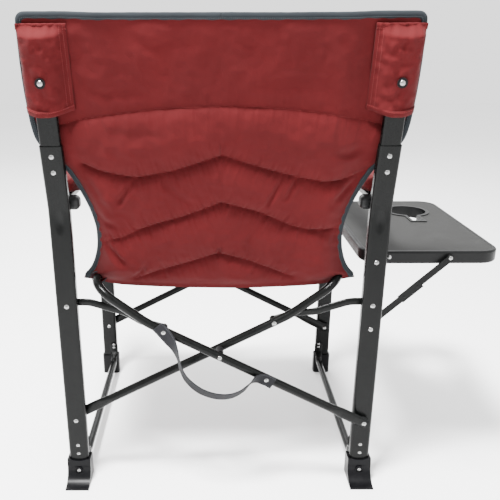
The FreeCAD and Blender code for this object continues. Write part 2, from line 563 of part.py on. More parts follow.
# ---------------------------------------------------------------- soft goods
for side, fr, s in (("left", "a", 1), ("right", "b", -1)):
    # seat half: padded slab from the seat rail to the middle
    pts = [(0.3, 412), (0.3, 412 + D["seatthick"] + 2), (225, 434 + D["seatthick"]), (225, 434)]
    w = Part.makePolygon([V(s * a, -48, b) for a, b in pts] + [V(s * pts[0][0], -48, pts[0][1])])
    sp = doc.addObject("Part::Extrusion", "seat_panel_block_" + side)
    sp.Base = feat("seat_panel_profile_" + side, Part.Face(w))
    sp.DirMode = "Custom"
    sp.Dir = V(0, -1, 0)
    sp.LengthFwd = 372
    sp.Solid = True
    final(sp, "seat_panel_" + side)
    # sleeve sewn round the seat rail
    ya = -48 if fr == "a" else -66
    yb = -402 if fr == "a" else -420
    o = cyl("seat_sleeve_outer_" + side, "12", str(ya - yb), (s * D["railx"], yb, D["railz"]), (0, 1, 0))
    i2 = cyl("seat_sleeve_inner_" + side, "dims.crossrad + 0.2", str(ya - yb), (s * D["railx"], yb, D["railz"]), (0, 1, 0))
    final(cut("seat_sleeve_" + side, o, i2), "seat_sleeve_" + side)
    # back half: padded sheet in the plane of the posts, narrow at the waist
    prof = [(0.3, 418), (150, 420), (190, 430), (222, 454), (232, 474), (233, 505), (232, 530), (237, 572), (252, 615), (262, 645), (267, 700), (267, 903), (0.3, 905)]
    pts = [onpost(s * x, 0, (z - D["bendz"]) / math.cos(REC)) for x, z in prof]
    n = onpost(0, 1, 0) - onpost(0, 0, 0)
    f = Part.Face(Part.makePolygon([p - n * (D["backthick"] / 2) for p in pts] + [pts[0] - n * (D["backthick"] / 2)]))
    bp = doc.addObject("Part::Extrusion", "back_panel_block_" + side)
    bp.Base = feat("back_panel_profile_" + side, f)
    bp.DirMode = "Custom"
    bp.Dir = n
    bind(bp, LengthFwd="dims.backthick")
    bp.Solid = True
    final(bp, "back_panel_" + side)
    # sleeve that slides over the post
    v0 = (762 - D["bendz"]) / math.cos(REC)
    so = box("back_sleeve_outer_" + side, "62", "34", "148", tuple(onpost(s * (W + 4), 0, v0)), POSTROT)
    sfl = fillet("back_sleeve_round_" + side, so, along((0, math.sin(REC), math.cos(REC))), 9)
    sc = box("back_sleeve_hole_" + side, "dims.postwide + 2", "dims.postdeep + 2", "150", tuple(onpost(s * W, 0, v0 - 1)), POSTROT)
    final(cut("back_sleeve_" + side, sfl, sc), "back_sleeve_" + side)

# ---------------------------------------------------------------- side table
TX0, TX1 = D["tableouter"], D["tableinner"]
TY0, TY1 = D["tablefront"], D["tablerear"]
TZ1 = D["tablepivot"] + 11
TZ0 = TZ1 - D["tablethick"]
cxm, cym = (TX0 + TX1) / 2, (TY0 + TY1) / 2


def slotted(r, w, ylen, z0, z1):
    """Cup hole with a mug-handle slot towards the rear."""
    c = Part.makeCylinder(r, z1 - z0, V(D["cupx"], D["cupy"], z0))
    b = Part.makeBox(w, ylen, z1 - z0, V(D["cupx"] - w / 2, D["cupy"], z0))
    return c.fuse(b).removeSplitter()


tb = doc.addObject("PartDesign::Body", "table_frame_body")
sk = tb.newObject("Sketcher::SketchObject", "table_outline")
xy = [f for f in tb.Origin.OriginFeatures if f.Role == "XY_Plane"][0]
sk.AttachmentSupport = [(xy, "")]
sk.MapMode = "FlatFace"
r = D["tablecorner"]
x, y = (TX1 - TX0) / 2, (TY1 - TY0) / 2


def outline(x, y, r):
    g = []
    g.append(Part.LineSegment(V(-x + r, -y, 0), V(x - r, -y, 0)))
    g.append(Part.ArcOfCircle(Part.Circle(V(x - r, -y + r, 0), V(0, 0, 1), r), -math.pi / 2, 0))
    g.append(Part.LineSegment(V(x, -y + r, 0), V(x, y - r, 0)))
    g.append(Part.ArcOfCircle(Part.Circle(V(x - r, y - r, 0), V(0, 0, 1), r), 0, math.pi / 2))
    g.append(Part.LineSegment(V(x - r, y, 0), V(-x + r, y, 0)))
    g.append(Part.ArcOfCircle(Part.Circle(V(-x + r, y - r, 0), V(0, 0, 1), r), math.pi / 2, math.pi))
    g.append(Part.LineSegment(V(-x, y - r, 0), V(-x, -y + r, 0)))
    g.append(Part.ArcOfCircle(Part.Circle(V(-x + r, -y + r, 0), V(0, 0, 1), r), math.pi, 1.5 * math.pi))
    return g


sk.addGeometry(outline(x, y, r), False)
pad = tb.newObject("PartDesign::Pad", "table_slab")
pad.Profile = sk
pad.setExpression("Length", "dims.tablethick")
doc.recompute()
rnd = tb.newObject("PartDesign::Fillet", "table_edge_round")
keep = []
for k, e in enumerate(pad.Shape.Edges):
    b = e.BoundBox
    if b.ZLength < 0.01:
        keep.append("Edge%d" % (k + 1))
rnd.Base = (pad, keep)
rnd.Radius = 4
doc.recompute()
tb.Placement = FreeCAD.Placement(V(cxm, cym, TZ0), FreeCAD.Rotation())
# recess for the top sheet, open middle for the deck, and hinge bores
rec = Part.Face(Part.Wire([c.toShape() for c in outline(x - 9, y - 9, r - 9)])).extrude(V(0, 0, 6))
rec.translate(V(cxm, cym, TZ1 - 2.2))
und = Part.Face(Part.Wire([c.toShape() for c in outline(x - 14, y - 14, r - 14)])).extrude(V(0, 0, 40))
und.translate(V(cxm, cym, TZ0 - 5))
tools = rec.fuse(und).fuse(slotted(47.4, 29, 94, TZ0 - 5, TZ1 + 5))
tools = tools.fuse(rod((-W, TY1 - 16, D["tablepivot"]), (-W, TY1 + 5, D["tablepivot"]), D["holerad"]))
tools = tools.fuse(rod((-W, TY0 - 5, D["tablepivot"]), (-W, TY0 + 16, D["tablepivot"]), D["holerad"]))
final(cut("table_frame", tb, feat("table_frame_cuts", tools)), "table_frame")
# deck inside the rim, with a deeper collar round the cup hole
deck = Part.Face(Part.Wire([c.toShape() for c in outline(x - 14.1, y - 14.1, r - 14.1)])).extrude(V(0, 0, TZ1 - 2.25 - TZ0 - 12))
deck.translate(V(cxm, cym, TZ0 + 12))
deck = deck.fuse(slotted(58, 44, 106, TZ0, TZ0 + 13)).removeSplitter()
final(cut("table_deck", feat("table_deck_slab", deck), feat("table_deck_hole", slotted(47.4, 29, 94, TZ0 - 5, TZ1 + 5))), "table_deck")
top = Part.Face(Part.Wire([c.toShape() for c in outline(x - 9.3, y - 9.3, r - 9.3)])).extrude(V(0, 0, 1.8))
top.translate(V(cxm, cym, TZ1 - 2.0))
final(cut("table_top", feat("table_top_sheet", top), feat("table_top_hole", slotted(47.4, 29, 94, TZ0 - 5, TZ1 + 5))), "table_top")
rg = slotted(47.2, 28.6, 93.8, TZ0 + 0.5, TZ1 + 0.2).fuse(slotted(51.5, 36, 98, TZ1 + 0.1, TZ1 + 2.0))
rg = rg.cut(slotted(D["cuprad"], 22.6, 90, TZ0 - 5, TZ1 + 5))
final(feat("cup_ring", rg.removeSplitter()), "cup_ring")
# hinge pins, fixed in the legs
tp = [pin(TY1 - 14, hd, -W, D["tablepivot"], head0=False), pin(F - hd, TY0 + 14, -W, D["tablepivot"], head1=False),
      rod((-W, -14.0, D["tablepivot"] - D["strutdrop"]), (-W, hd, D["tablepivot"] - D["strutdrop"]), 2.5).fuse(dome((-W, hd, D["tablepivot"] - D["strutdrop"]), (0, 1, 0)))]
final(feat("table_pins", Part.makeCompound(tp)), "table_pins")
# strut: two flat bars, the lower one with a wide knee plate
SZ = D["tablepivot"] - D["strutdrop"]
SX = -W - D["strutarm"]
# the bars' lengths differ by the distance between their pins when the table hangs down
Lt = math.hypot(D["strutarm"], D["strutdrop"])
dif = D["strutarm"] - D["strutdrop"]
Lh = (Lt + dif) / 2
Lu = (Lt - dif) / 2
tilt = math.degrees(math.atan2(D["strutdrop"], D["strutarm"]))


def bar(length, y0, t, w, e0=1.0):
    b = Part.makeBox(length, t, w, V(0, y0, -w / 2))
    b = b.fuse(Part.makeCylinder(w / 2, t, V(0, y0, 0), V(0, 1, 0)))
    b = b.fuse(Part.makeCylinder(w / 2, t, V(length, y0, 0), V(0, 1, 0)))
    return b.removeSplitter()


lower = bar(Lh + 4, -13.7, 2.0, 13)
plate = Part.makeBox(50, 2.0, 17, V(Lh - 27, -13.7, -8.5))
lower = lower.fuse(plate)
kd = [dome((Lh - 18, -11.7, 0), (0, 1, 0), 2.4, 1.0), dome((Lh + 14, -11.7, 0), (0, 1, 0), 2.4, 1.0)]
lower = lower.fuse(kd[0]).fuse(kd[1]).cut(rod((0, -20, 0), (0, 0, 0), 2.55)).removeSplitter()
lower.Placement = FreeCAD.Placement(V(-W, 0, SZ), FreeCAD.Rotation(V(0, 1, 0), tilt - 180))
final(feat("strut_lower", lower), "strut_lower")
upper = bar(Lu + 2, -18.2, 2.0, 13).cut(rod((0, -20, 0), (0, 0, 0), 2.55))
upper.Placement = FreeCAD.Placement(V(SX, 0, D["tablepivot"]), FreeCAD.Rotation(V(0, 1, 0), tilt))
final(feat("strut_upper", upper), "strut_upper")
trv = [rod((SX, TY1 + 0.02, D["tablepivot"]), (SX, -16.2, D["tablepivot"]), 2.5).fuse(rod((SX, TY1 + 0.02, D["tablepivot"]), (SX, -18.5, D["tablepivot"]), 5)).fuse(dome((SX, -16.2, D["tablepivot"]), (0, 1, 0), 4.0, 1.8)),
       dome((-328, TY1, D["tablepivot"]), (0, 1, 0), 4.2, 2.0)]
final(feat("table_rivets", Part.makeCompound(trv)), "table_rivets")

# ---------------------------------------------------------------- check and write
doc.recompute()
bad = [o.Name for o in doc.Objects if "Invalid" in o.State or "Error" in o.State]
if bad:
    raise RuntimeError("failed objects: %s" % bad)
os.makedirs("parts", exist_ok=True)
bb = None
for o in FINAL:
    sh = o.Shape
    if sh.isNull() or not sh.isValid() or not sh.Solids:
        raise RuntimeError("bad shape: " + o.Label)
    if len(o.Label) > 59:
        raise RuntimeError("long name: " + o.Label)
    b = sh.optimalBoundingBox(False, False)
    if bb is None:
        bb = FreeCAD.BoundBox(b)
    else:
        bb.add(b)
for o in FINAL:
    o.Shape.exportStep("parts/%s.step" % o.Label)
print("pieces", len(FINAL), "box", [round(v, 2) for v in (bb.XMin, bb.XMax, bb.YMin, bb.YMax, bb.ZMin, bb.ZMax)])
print("centre offset", round((bb.XMin + bb.XMax) / 2, 3), round((bb.YMin + bb.YMax) / 2, 3))
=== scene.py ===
import json
import math

import bpy
import numpy as np
from mathutils import Matrix, Vector


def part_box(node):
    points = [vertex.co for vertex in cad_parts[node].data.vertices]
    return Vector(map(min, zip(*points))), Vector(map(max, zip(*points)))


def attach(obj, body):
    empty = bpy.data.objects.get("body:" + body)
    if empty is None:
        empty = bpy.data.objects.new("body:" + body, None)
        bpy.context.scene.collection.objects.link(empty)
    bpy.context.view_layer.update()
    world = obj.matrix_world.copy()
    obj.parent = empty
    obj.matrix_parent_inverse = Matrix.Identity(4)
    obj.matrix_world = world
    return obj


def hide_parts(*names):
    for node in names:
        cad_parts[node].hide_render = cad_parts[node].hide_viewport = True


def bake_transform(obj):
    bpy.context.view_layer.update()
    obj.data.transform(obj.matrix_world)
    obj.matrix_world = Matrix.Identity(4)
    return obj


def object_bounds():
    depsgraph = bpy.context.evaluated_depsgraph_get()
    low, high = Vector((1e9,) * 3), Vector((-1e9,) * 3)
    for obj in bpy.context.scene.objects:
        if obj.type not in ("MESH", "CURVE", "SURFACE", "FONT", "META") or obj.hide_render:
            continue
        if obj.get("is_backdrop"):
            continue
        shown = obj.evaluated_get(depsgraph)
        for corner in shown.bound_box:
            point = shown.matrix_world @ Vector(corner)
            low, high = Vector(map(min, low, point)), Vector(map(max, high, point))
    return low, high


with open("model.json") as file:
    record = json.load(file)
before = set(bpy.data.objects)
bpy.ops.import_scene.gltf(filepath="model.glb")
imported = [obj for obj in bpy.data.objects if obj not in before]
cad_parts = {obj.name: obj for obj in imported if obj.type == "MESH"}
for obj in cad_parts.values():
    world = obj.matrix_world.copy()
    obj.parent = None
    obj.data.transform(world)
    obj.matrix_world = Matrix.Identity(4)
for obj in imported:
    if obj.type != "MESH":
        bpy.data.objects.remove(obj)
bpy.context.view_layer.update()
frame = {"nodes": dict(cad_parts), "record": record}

SX, SY = 0.1085, 0.20803
W, F = 0.295, -0.468
REC = math.radians(11.6)
CR, SR = math.cos(REC), math.sin(REC)
SLOT = {r["node"]: r["material_slot"] for r in frame["record"]["subparts"]}


# ---------------------------------------------------------------- materials
def nodes_of(name):
    m = bpy.data.materials.new(name)
    m.use_nodes = True
    nt = m.node_tree
    return m, nt.nodes, nt.links, nt.nodes["Principled BSDF"]


def node(N, kind, **kw):
    n = N.new(kind)
    for k, v in kw.items():
        if k in n.inputs:
            n.inputs[k].default_value = v
        else:
            setattr(n, k, v)
    return n


def ramp(N, stops):
    r = N.new("ShaderNodeValToRGB")
    e = r.color_ramp.elements
    while len(e) < len(stops):
        e.new(0.5)
    for q, (p, c) in zip(e, stops):
        q.position = p
        q.color = (*c, 1)
    return r


def noise_of(N, L, co, scale, detail=3, rough=0.5):
    n = node(N, "ShaderNodeTexNoise", Scale=scale, Detail=detail, Roughness=rough)
    L.new(co, n.inputs["Vector"])
    return n


def mix_of(N, L, a, b, f, mode="MIX"):
    x = N.new("ShaderNodeMix")
    x.data_type = "RGBA"
    x.blend_type = mode
    if isinstance(f, float):
        x.inputs[0].default_value = f
    else:
        L.new(f, x.inputs[0])
    for s, v in ((6, a), (7, b)):
        if isinstance(v, tuple):
            x.inputs[s].default_value = (*v, 1)
        else:
            L.new(v, x.inputs[s])
    return x.outputs[2]


def math_of(N, L, op, a, b=None):
    x = N.new("ShaderNodeMath")
    x.operation = op
    for i, v in enumerate((a, b)):
        if v is None:
            continue
        if isinstance(v, (int, float)):
            x.inputs[i].default_value = v
        else:
            L.new(v, x.inputs[i])
    return x.outputs[0]


def bump_of(N, L, h, strength, dist, under=None):
    b = node(N, "ShaderNodeBump", Strength=strength, Distance=dist)
    L.new(h, b.inputs["Height"])
    if under is not None:
        L.new(under, b.inputs["Normal"])
    return b.outputs[0]


def wave(N, L, co, axis, pitch):
    w = node(N, "ShaderNodeTexWave", wave_type="BANDS", bands_direction=axis, Scale=0.314159 / pitch)
    L.new(co, w.inputs["Vector"])
    return w.outputs["Fac"]


def fabric(name, dark, mid, light, pitch=0.0011, rough=0.8, sheen=0.2, axes="XZ", worn=0.5):
    m, N, L, B = nodes_of(name)
    co = N.new("ShaderNodeTexCoord").outputs["Object"]
    wa, wb = wave(N, L, co, axes[0], pitch), wave(N, L, co, axes[1], pitch)
    weave = math_of(N, L, "MULTIPLY", wa, wb)
    fibre = noise_of(N, L, co, 1500, 2, 0.6).outputs["Fac"]
    broad = noise_of(N, L, co, 11, 4, 0.6).outputs["Fac"]
    cloud = ramp(N, [(0.3, dark), (0.52, mid), (0.75, light)])
    L.new(broad, cloud.inputs[0])
    thread = ramp(N, [(0.25, tuple(c * 0.62 for c in mid)), (0.75, tuple(min(1, c * 1.35) for c in mid))])
    L.new(fibre, thread.inputs[0])
    c1 = mix_of(N, L, cloud.outputs[0], thread.outputs[0], 0.42)
    shade = ramp(N, [(0.0, (0.7, 0.7, 0.7)), (0.55, (1.0, 1.0, 1.0))])
    L.new(weave, shade.inputs[0])
    c2 = mix_of(N, L, c1, shade.outputs[0], 0.75, "MULTIPLY")
    L.new(c2, B.inputs["Base Color"])
    rr = node(N, "ShaderNodeMapRange")
    rr.inputs["To Min"].default_value = rough - 0.08
    rr.inputs["To Max"].default_value = rough + 0.1
    L.new(fibre, rr.inputs[0])
    L.new(rr.outputs[0], B.inputs["Roughness"])
    B.inputs["Sheen Weight"].default_value = sheen
    B.inputs["Sheen Roughness"].default_value = 0.5
    B.inputs["Specular IOR Level"].default_value = 0.11
    n1 = bump_of(N, L, weave, 0.55, 0.0004)
    n2 = bump_of(N, L, fibre, 0.35, 0.0003, n1)
    soft = noise_of(N, L, co, 70, 3, 0.55).outputs["Fac"]
    L.new(bump_of(N, L, soft, 0.25, 0.0012, n2), B.inputs["Normal"])
    return m


def coat(name, base, fleck, metallic, rough, fs=900, bumps=0.25, bs=700, wear=0.0, spec=0.5):
    """Powder coat or moulded plastic: flecks, a fine skin, slight wear in the noise."""
    m, N, L, B = nodes_of(name)
    co = N.new("ShaderNodeTexCoord").outputs["Object"]
    a = noise_of(N, L, co, fs, 2, 0.65).outputs["Fac"]
    b = noise_of(N, L, co, 35, 4, 0.6).outputs["Fac"]
    r = ramp(N, [(0.42, base), (0.60, tuple((x + y) / 2 for x, y in zip(base, fleck))), (0.74, fleck)])
    L.new(a, r.inputs[0])
    r2 = ramp(N, [(0.3, (0.78, 0.78, 0.78)), (0.7, (1.12, 1.12, 1.12))])
    L.new(b, r2.inputs[0])
    L.new(mix_of(N, L, r.outputs[0], r2.outputs[0], 1.0, "MULTIPLY"), B.inputs["Base Color"])
    rr = node(N, "ShaderNodeMapRange")
    rr.inputs["To Min"].default_value = rough - 0.07
    rr.inputs["To Max"].default_value = rough + 0.12
    L.new(b, rr.inputs[0])
    L.new(rr.outputs[0], B.inputs["Roughness"])
    B.inputs["Metallic"].default_value = metallic
    B.inputs["Specular IOR Level"].default_value = spec
    h = noise_of(N, L, co, bs, 3, 0.55).outputs["Fac"]
    L.new(bump_of(N, L, h, bumps, 0.0005), B.inputs["Normal"])
    return m


RED_C = ((0.052, 0.0024, 0.0031), (0.063, 0.0031, 0.0040), (0.078, 0.0044, 0.0053))
RED = fabric("red_weave", *RED_C, sheen=0.025)
RED_FLAT = fabric("red_weave_flat", *RED_C, axes="XY", sheen=0.025)
TRIM = fabric("grey_binding", (0.0085, 0.0105, 0.013), (0.013, 0.016, 0.019), (0.020, 0.024, 0.028), pitch=0.0016, sheen=0.05)
WEB = fabric("dark_webbing", (0.006, 0.006, 0.007), (0.010, 0.010, 0.012), (0.016, 0.016, 0.019), pitch=0.0018, sheen=0.05)
THREAD = fabric("red_thread", (0.10, 0.010, 0.011), (0.15, 0.016, 0.017), (0.21, 0.026, 0.026), pitch=0.0006, sheen=0.1)
THREAD_DARK = fabric("dark_thread", (0.03, 0.033, 0.036), (0.045, 0.05, 0.054), (0.07, 0.075, 0.08), pitch=0.0006, sheen=0.1)
FRAME_M = coat("hammertone_coat", (0.0010, 0.0011, 0.00105), (0.010, 0.0106, 0.0103), 0.05, 0.19, fs=1000, bumps=0.6, bs=520, spec=0.10)
BLACK = coat("black_moulding", (0.004, 0.004, 0.0045), (0.009, 0.009, 0.0095), 0.0, 0.42, fs=1200, bumps=0.3, bs=1500, spec=0.2)
SHOE = coat("glossy_moulding", (0.0025, 0.0025, 0.003), (0.005, 0.005, 0.0055), 0.0, 0.3, fs=300, bumps=0.08, bs=160, spec=0.08)
EDGE = coat("table_black", (0.0018, 0.0019, 0.0020), (0.005, 0.0052, 0.0054), 0.0, 0.34, fs=900, bumps=0.4, bs=1100, spec=0.14)
GREY = coat("table_grey", (0.016, 0.016, 0.0155), (0.025, 0.025, 0.0245), 0.0, 0.6, fs=1600, bumps=0.35, bs=1300, spec=0.10)
STEEL = coat("rivet_bright", (0.26, 0.26, 0.255), (0.40, 0.40, 0.395), 1.0, 0.20, fs=400, bumps=0.12, bs=900)

MATS = {
    "frame_metal": FRAME_M, "black_plastic": BLACK, "foot_plastic": SHOE, "red_fabric": RED, "trim_fabric": TRIM,
    "webbing": WEB, "table_edge": EDGE, "table_grey": GREY, "rivet_steel": STEEL,
}
for name, o in frame["nodes"].items():
    o.data.materials.clear()
    o.data.materials.append(MATS[SLOT[name]])


def dented(name, xc, zc):
    """The frame coat with the shallow dimple that each rear leg has where its bend ends."""
    m = FRAME_M.copy()
    m.name = name
    N, L = m.node_tree.nodes, m.node_tree.links
    B = [n for n in N if n.type == "BSDF_PRINCIPLED"][0]
    co = N.new("ShaderNodeTexCoord").outputs["Object"]
    mp = N.new("ShaderNodeMapping")
    mp.inputs["Location"].default_value = (-xc / 0.011, 0, -zc / 0.026)
    mp.inputs["Scale"].default_value = (1 / 0.011, 0, 1 / 0.026)
    L.new(co, mp.inputs["Vector"])
    ln = N.new("ShaderNodeVectorMath")
    ln.operation = "LENGTH"
    L.new(mp.outputs[0], ln.inputs[0])
    mr = N.new("ShaderNodeMapRange")
    mr.interpolation_type = "SMOOTHSTEP"
    L.new(ln.outputs["Value"], mr.inputs[0])
    old = B.inputs["Normal"].links[0].from_socket
    L.new(bump_of(N, L, mr.outputs[0], 1.0, 0.003, old), B.inputs["Normal"])
    return m


for side, s in (("left", 1), ("right", -1)):
    o = frame["nodes"]["rear_leg_" + side]
    lo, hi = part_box("rear_leg_" + side)
    o.data.materials[0] = dented("hammertone_leg_" + side, s * 0.295 + SX, 0.562)

# the back screws' washers are black round a bright head
for side, s in (("left", 1), ("right", -1)):
    o = frame["nodes"]["back_screw_" + side]
    o.data.materials.append(SHOE)
    lo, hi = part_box("back_screw_" + side)
    c = (lo + hi) / 2
    for p in o.data.polygons:
        if math.hypot(p.center.x - c.x, (p.center.z - c.z) / CR) > 0.0047:
            p.material_index = 1

# ---------------------------------------------------------------- mesh helpers
def make(name, verts, faces, mat, smooth=True):
    me = bpy.data.meshes.new(name)
    me.from_pydata([tuple(v) for v in verts], [], [tuple(f) for f in faces])
    me.validate()
    me.update()
    if smooth:
        me.polygons.foreach_set("use_smooth", [True] * len(me.polygons))
    me.materials.append(mat)
    o = bpy.data.objects.new(name, me)
    bpy.context.scene.collection.objects.link(o)
    return o


def outward(o):
    """Faces turned to look outwards."""
    import bmesh
    bm = bmesh.new()
    bm.from_mesh(o.data)
    bmesh.ops.recalc_face_normals(bm, faces=bm.faces)
    bm.to_mesh(o.data)
    bm.free()
    return o


def sharp(o, deg):
    """Edges past this angle keep a crisp shading line."""
    import bmesh
    bm = bmesh.new()
    bm.from_mesh(o.data)
    lim = math.radians(deg)
    for e in bm.edges:
        if len(e.link_faces) == 2 and e.calc_face_angle(0) > lim:
            e.smooth = False
    bm.to_mesh(o.data)
    bm.free()
    return o


def hermite(xs, ys, q):
    """Monotone cubic through (xs, ys)."""
    xs, ys = np.array(xs, float), np.array(ys, float)
    q = np.clip(np.asarray(q, float), xs[0], xs[-1])
    h = np.diff(xs)
    d = np.diff(ys) / h
    m = np.zeros_like(ys)
    m[0], m[-1] = d[0], d[-1]
    for i in range(1, len(ys) - 1):
        if d[i - 1] * d[i] > 0:
            w1, w2 = 2 * h[i] + h[i - 1], h[i] + 2 * h[i - 1]
            m[i] = (w1 + w2) / (w1 / d[i - 1] + w2 / d[i])
    i = np.clip(np.searchsorted(xs, q) - 1, 0, len(h) - 1)
    t = (q - xs[i]) / h[i]
    return (ys[i] * (2 * t**3 - 3 * t**2 + 1) + m[i] * h[i] * (t**3 - 2 * t**2 + t)
            + ys[i + 1] * (-2 * t**3 + 3 * t**2) + m[i + 1] * h[i] * (t**3 - t**2))


def curve_through(pts, n):
    """Points evenly along a smooth line through pts (any dimension)."""
    P = np.array(pts, float)
    s = np.concatenate([[0], np.cumsum(np.linalg.norm(np.diff(P, axis=0), axis=1))])
    m = np.zeros_like(P)
    m[0], m[-1] = (P[1] - P[0]) / (s[1] - s[0]), (P[-1] - P[-2]) / (s[-1] - s[-2])
    for i in range(1, len(P) - 1):
        m[i] = (P[i + 1] - P[i - 1]) / (s[i + 1] - s[i - 1])
    q = np.linspace(0, s[-1], n)
    i = np.clip(np.searchsorted(s, q) - 1, 0, len(s) - 2)
    h = (s[i + 1] - s[i])[:, None]
    t = ((q - s[i]) / h[:, 0])[:, None]
    return (P[i] * (2 * t**3 - 3 * t**2 + 1) + m[i] * h * (t**3 - 2 * t**2 + t)
            + P[i + 1] * (-2 * t**3 + 3 * t**2) + m[i + 1] * h * (t**3 - t**2))


def near(px, pz, line):
    """Distance from each point to a polyline, and the length along it there."""
    line = np.array(line, float)
    best = np.full(px.shape, 1e9)
    arc = np.zeros(px.shape)
    s = 0.0
    for (x0, z0), (x1, z1) in zip(line[:-1], line[1:]):
        dx, dz = x1 - x0, z1 - z0
        L = math.hypot(dx, dz)
        if L < 1e-9:
            continue
        t = np.clip(((px - x0) * dx + (pz - z0) * dz) / (L * L), 0, 1)
        d = np.hypot(px - x0 - t * dx, pz - z0 - t * dz)
        k = d < best
        best[k] = d[k]
        arc[k] = (s + t * L)[k]
        s += L
    return best, arc


def ripple(px, pz, seed, lo, hi, n=26, turn=None, spread=math.pi):
    """Smooth seeded unevenness, wavelengths lo to hi, about unit size."""
    rng = np.random.default_rng(seed)
    out = np.zeros(px.shape)
    tot = 0.0
    for _ in range(n):
        lam = lo * (hi / lo) ** rng.random()
        a = (turn or 0.0) + (rng.random() - 0.5) * 2 * spread / (1 if turn is None else 1)
        w = (lam / hi) ** 0.8
        out += w * np.sin(2 * math.pi * (px * math.cos(a) + pz * math.sin(a)) / lam + rng.random() * 6.283)
        tot += w * w
    return out / math.sqrt(tot / 2)


def pucker(arc, seed):
    rng = np.random.default_rng(seed)
    out = np.zeros(arc.shape)
    for lam in (0.0085, 0.0125, 0.019, 0.028, 0.043):
        out += np.sin(2 * math.pi * arc / lam + rng.random() * 6.283) * (0.7 + 0.6 * rng.random())
    return out / 2.2


def sweep(name, centres, A, B, prof, mat, closed=True, caps=True):
    """A profile of (a, b) offsets carried along centres, A and B its axes at each."""
    C, A, B = np.array(centres), np.array(A), np.array(B)
    k = len(prof)
    verts = []
    for c, a, b in zip(C, A, B):
        for pa, pb in prof:
            verts.append(c + a * pa + b * pb)
    faces = []
    for i in range(len(C) - 1):
        for j in range(k if closed else k - 1):
            j2 = (j + 1) % k
            faces.append((i * k + j, i * k + j2, (i + 1) * k + j2, (i + 1) * k + j))
    if caps and closed:
        faces.append(tuple(range(k))[::-1])
        faces.append(tuple((len(C) - 1) * k + j for j in range(k)))
    return outward(make(name, verts, faces, mat))


def stitches(name, pts, normals, mat, pitch=0.0034, length=0.0022, rad=0.00042):
    """Run of separate stitches lying along a line."""
    P = np.array(pts, float)
    Nn = np.array(normals, float)
    s = np.concatenate([[0], np.cumsum(np.linalg.norm(np.diff(P, axis=0), axis=1))])
    n = max(2, int(s[-1] / pitch))
    q = (np.arange(n) + 0.5) * s[-1] / n
    C = np.stack([np.interp(q, s, P[:, i]) for i in range(3)], 1)
    Q = np.stack([np.interp(q + 1e-4, s, P[:, i]) for i in range(3)], 1) - np.stack([np.interp(q - 1e-4, s, P[:, i]) for i in range(3)], 1)
    T = Q / np.maximum(np.linalg.norm(Q, axis=1), 1e-12)[:, None]
    M = np.stack([np.interp(q, s, Nn[:, i]) for i in range(3)], 1)
    M /= np.linalg.norm(M, axis=1)[:, None]
    S = np.cross(T, M)
    verts, faces = [], []
    for c, t, m_, b in zip(C, T, M, S):
        base = len(verts)
        for f, r in ((-0.5, 0.25), (-0.3, 1.0), (0.3, 1.0), (0.5, 0.25)):
            for k in range(5):
                a = k * 2 * math.pi / 5
                verts.append(c + t * f * length + (b * math.cos(a) * 1.15 + m_ * math.sin(a)) * rad * r - m_ * (rad * 0.9 if r < 1 else 0))
        for i in range(3):
            for k in range(5):
                k2 = (k + 1) % 5
                faces.append((base + i * 5 + k, base + i * 5 + k2, base + i * 5 + 5 + k2, base + i * 5 + 5 + k))
        faces.append(tuple(base + k for k in range(5))[::-1])
        faces.append(tuple(base + 15 + k for k in range(5)))
    return outward(make(name, verts, faces, mat))


def grid_faces(nr, nc, off=0, flip=False):
    r, c = np.meshgrid(np.arange(nr - 1), np.arange(nc - 1), indexing="ij")
    a = off + r * nc + c
    f = np.stack([a, a + 1, a + nc + 1, a + nc], -1).reshape(-1, 4)
    return f[:, ::-1] if flip else f


# ---------------------------------------------------------------- the back
EDGE_Z = [0.416, 0.433, 0.455, 0.488, 0.520, 0.541, 0.572, 0.611, 0.640, 0.655, 0.680, 0.708, 0.735, 0.762, 0.815, 0.878, 0.9160]
EDGE_X = [0.262, 0.268, 0.252, 0.238, 0.2325, 0.2325, 0.2385, 0.2535, 0.268, 0.277, 0.301, 0.3215, 0.328, 0.330, 0.3315, 0.330, 0.3285]


def cubic(xs, ys, q):
    """Smooth line through the points, tangents from their neighbours."""
    P = np.stack([np.array(xs, float), np.array(ys, float)], 1)
    m = np.gradient(P[:, 1], P[:, 0])
    q = np.clip(q, xs[0], xs[-1])
    i = np.clip(np.searchsorted(P[:, 0], q) - 1, 0, len(xs) - 2)
    h = P[i + 1, 0] - P[i, 0]
    t = (q - P[i, 0]) / h
    return (P[i, 1] * (2 * t**3 - 3 * t**2 + 1) + m[i] * h * (t**3 - 2 * t**2 + t)
            + P[i + 1, 1] * (-2 * t**3 + 3 * t**2) + m[i + 1] * h * (t**3 - t**2))


def edge_x(z):
    return cubic(EDGE_Z, EDGE_X, z)


def top_z(x):
    k = np.clip((np.abs(x) - 0.314) / 0.0145, 0, 1)
    return 0.9160 - 0.012 * (1 - np.sqrt(np.maximum(1 - k * k, 0)))


def bottom_z(x):
    return 0.4155 + 0.0165 * (np.abs(x) / 0.268) ** 2.6


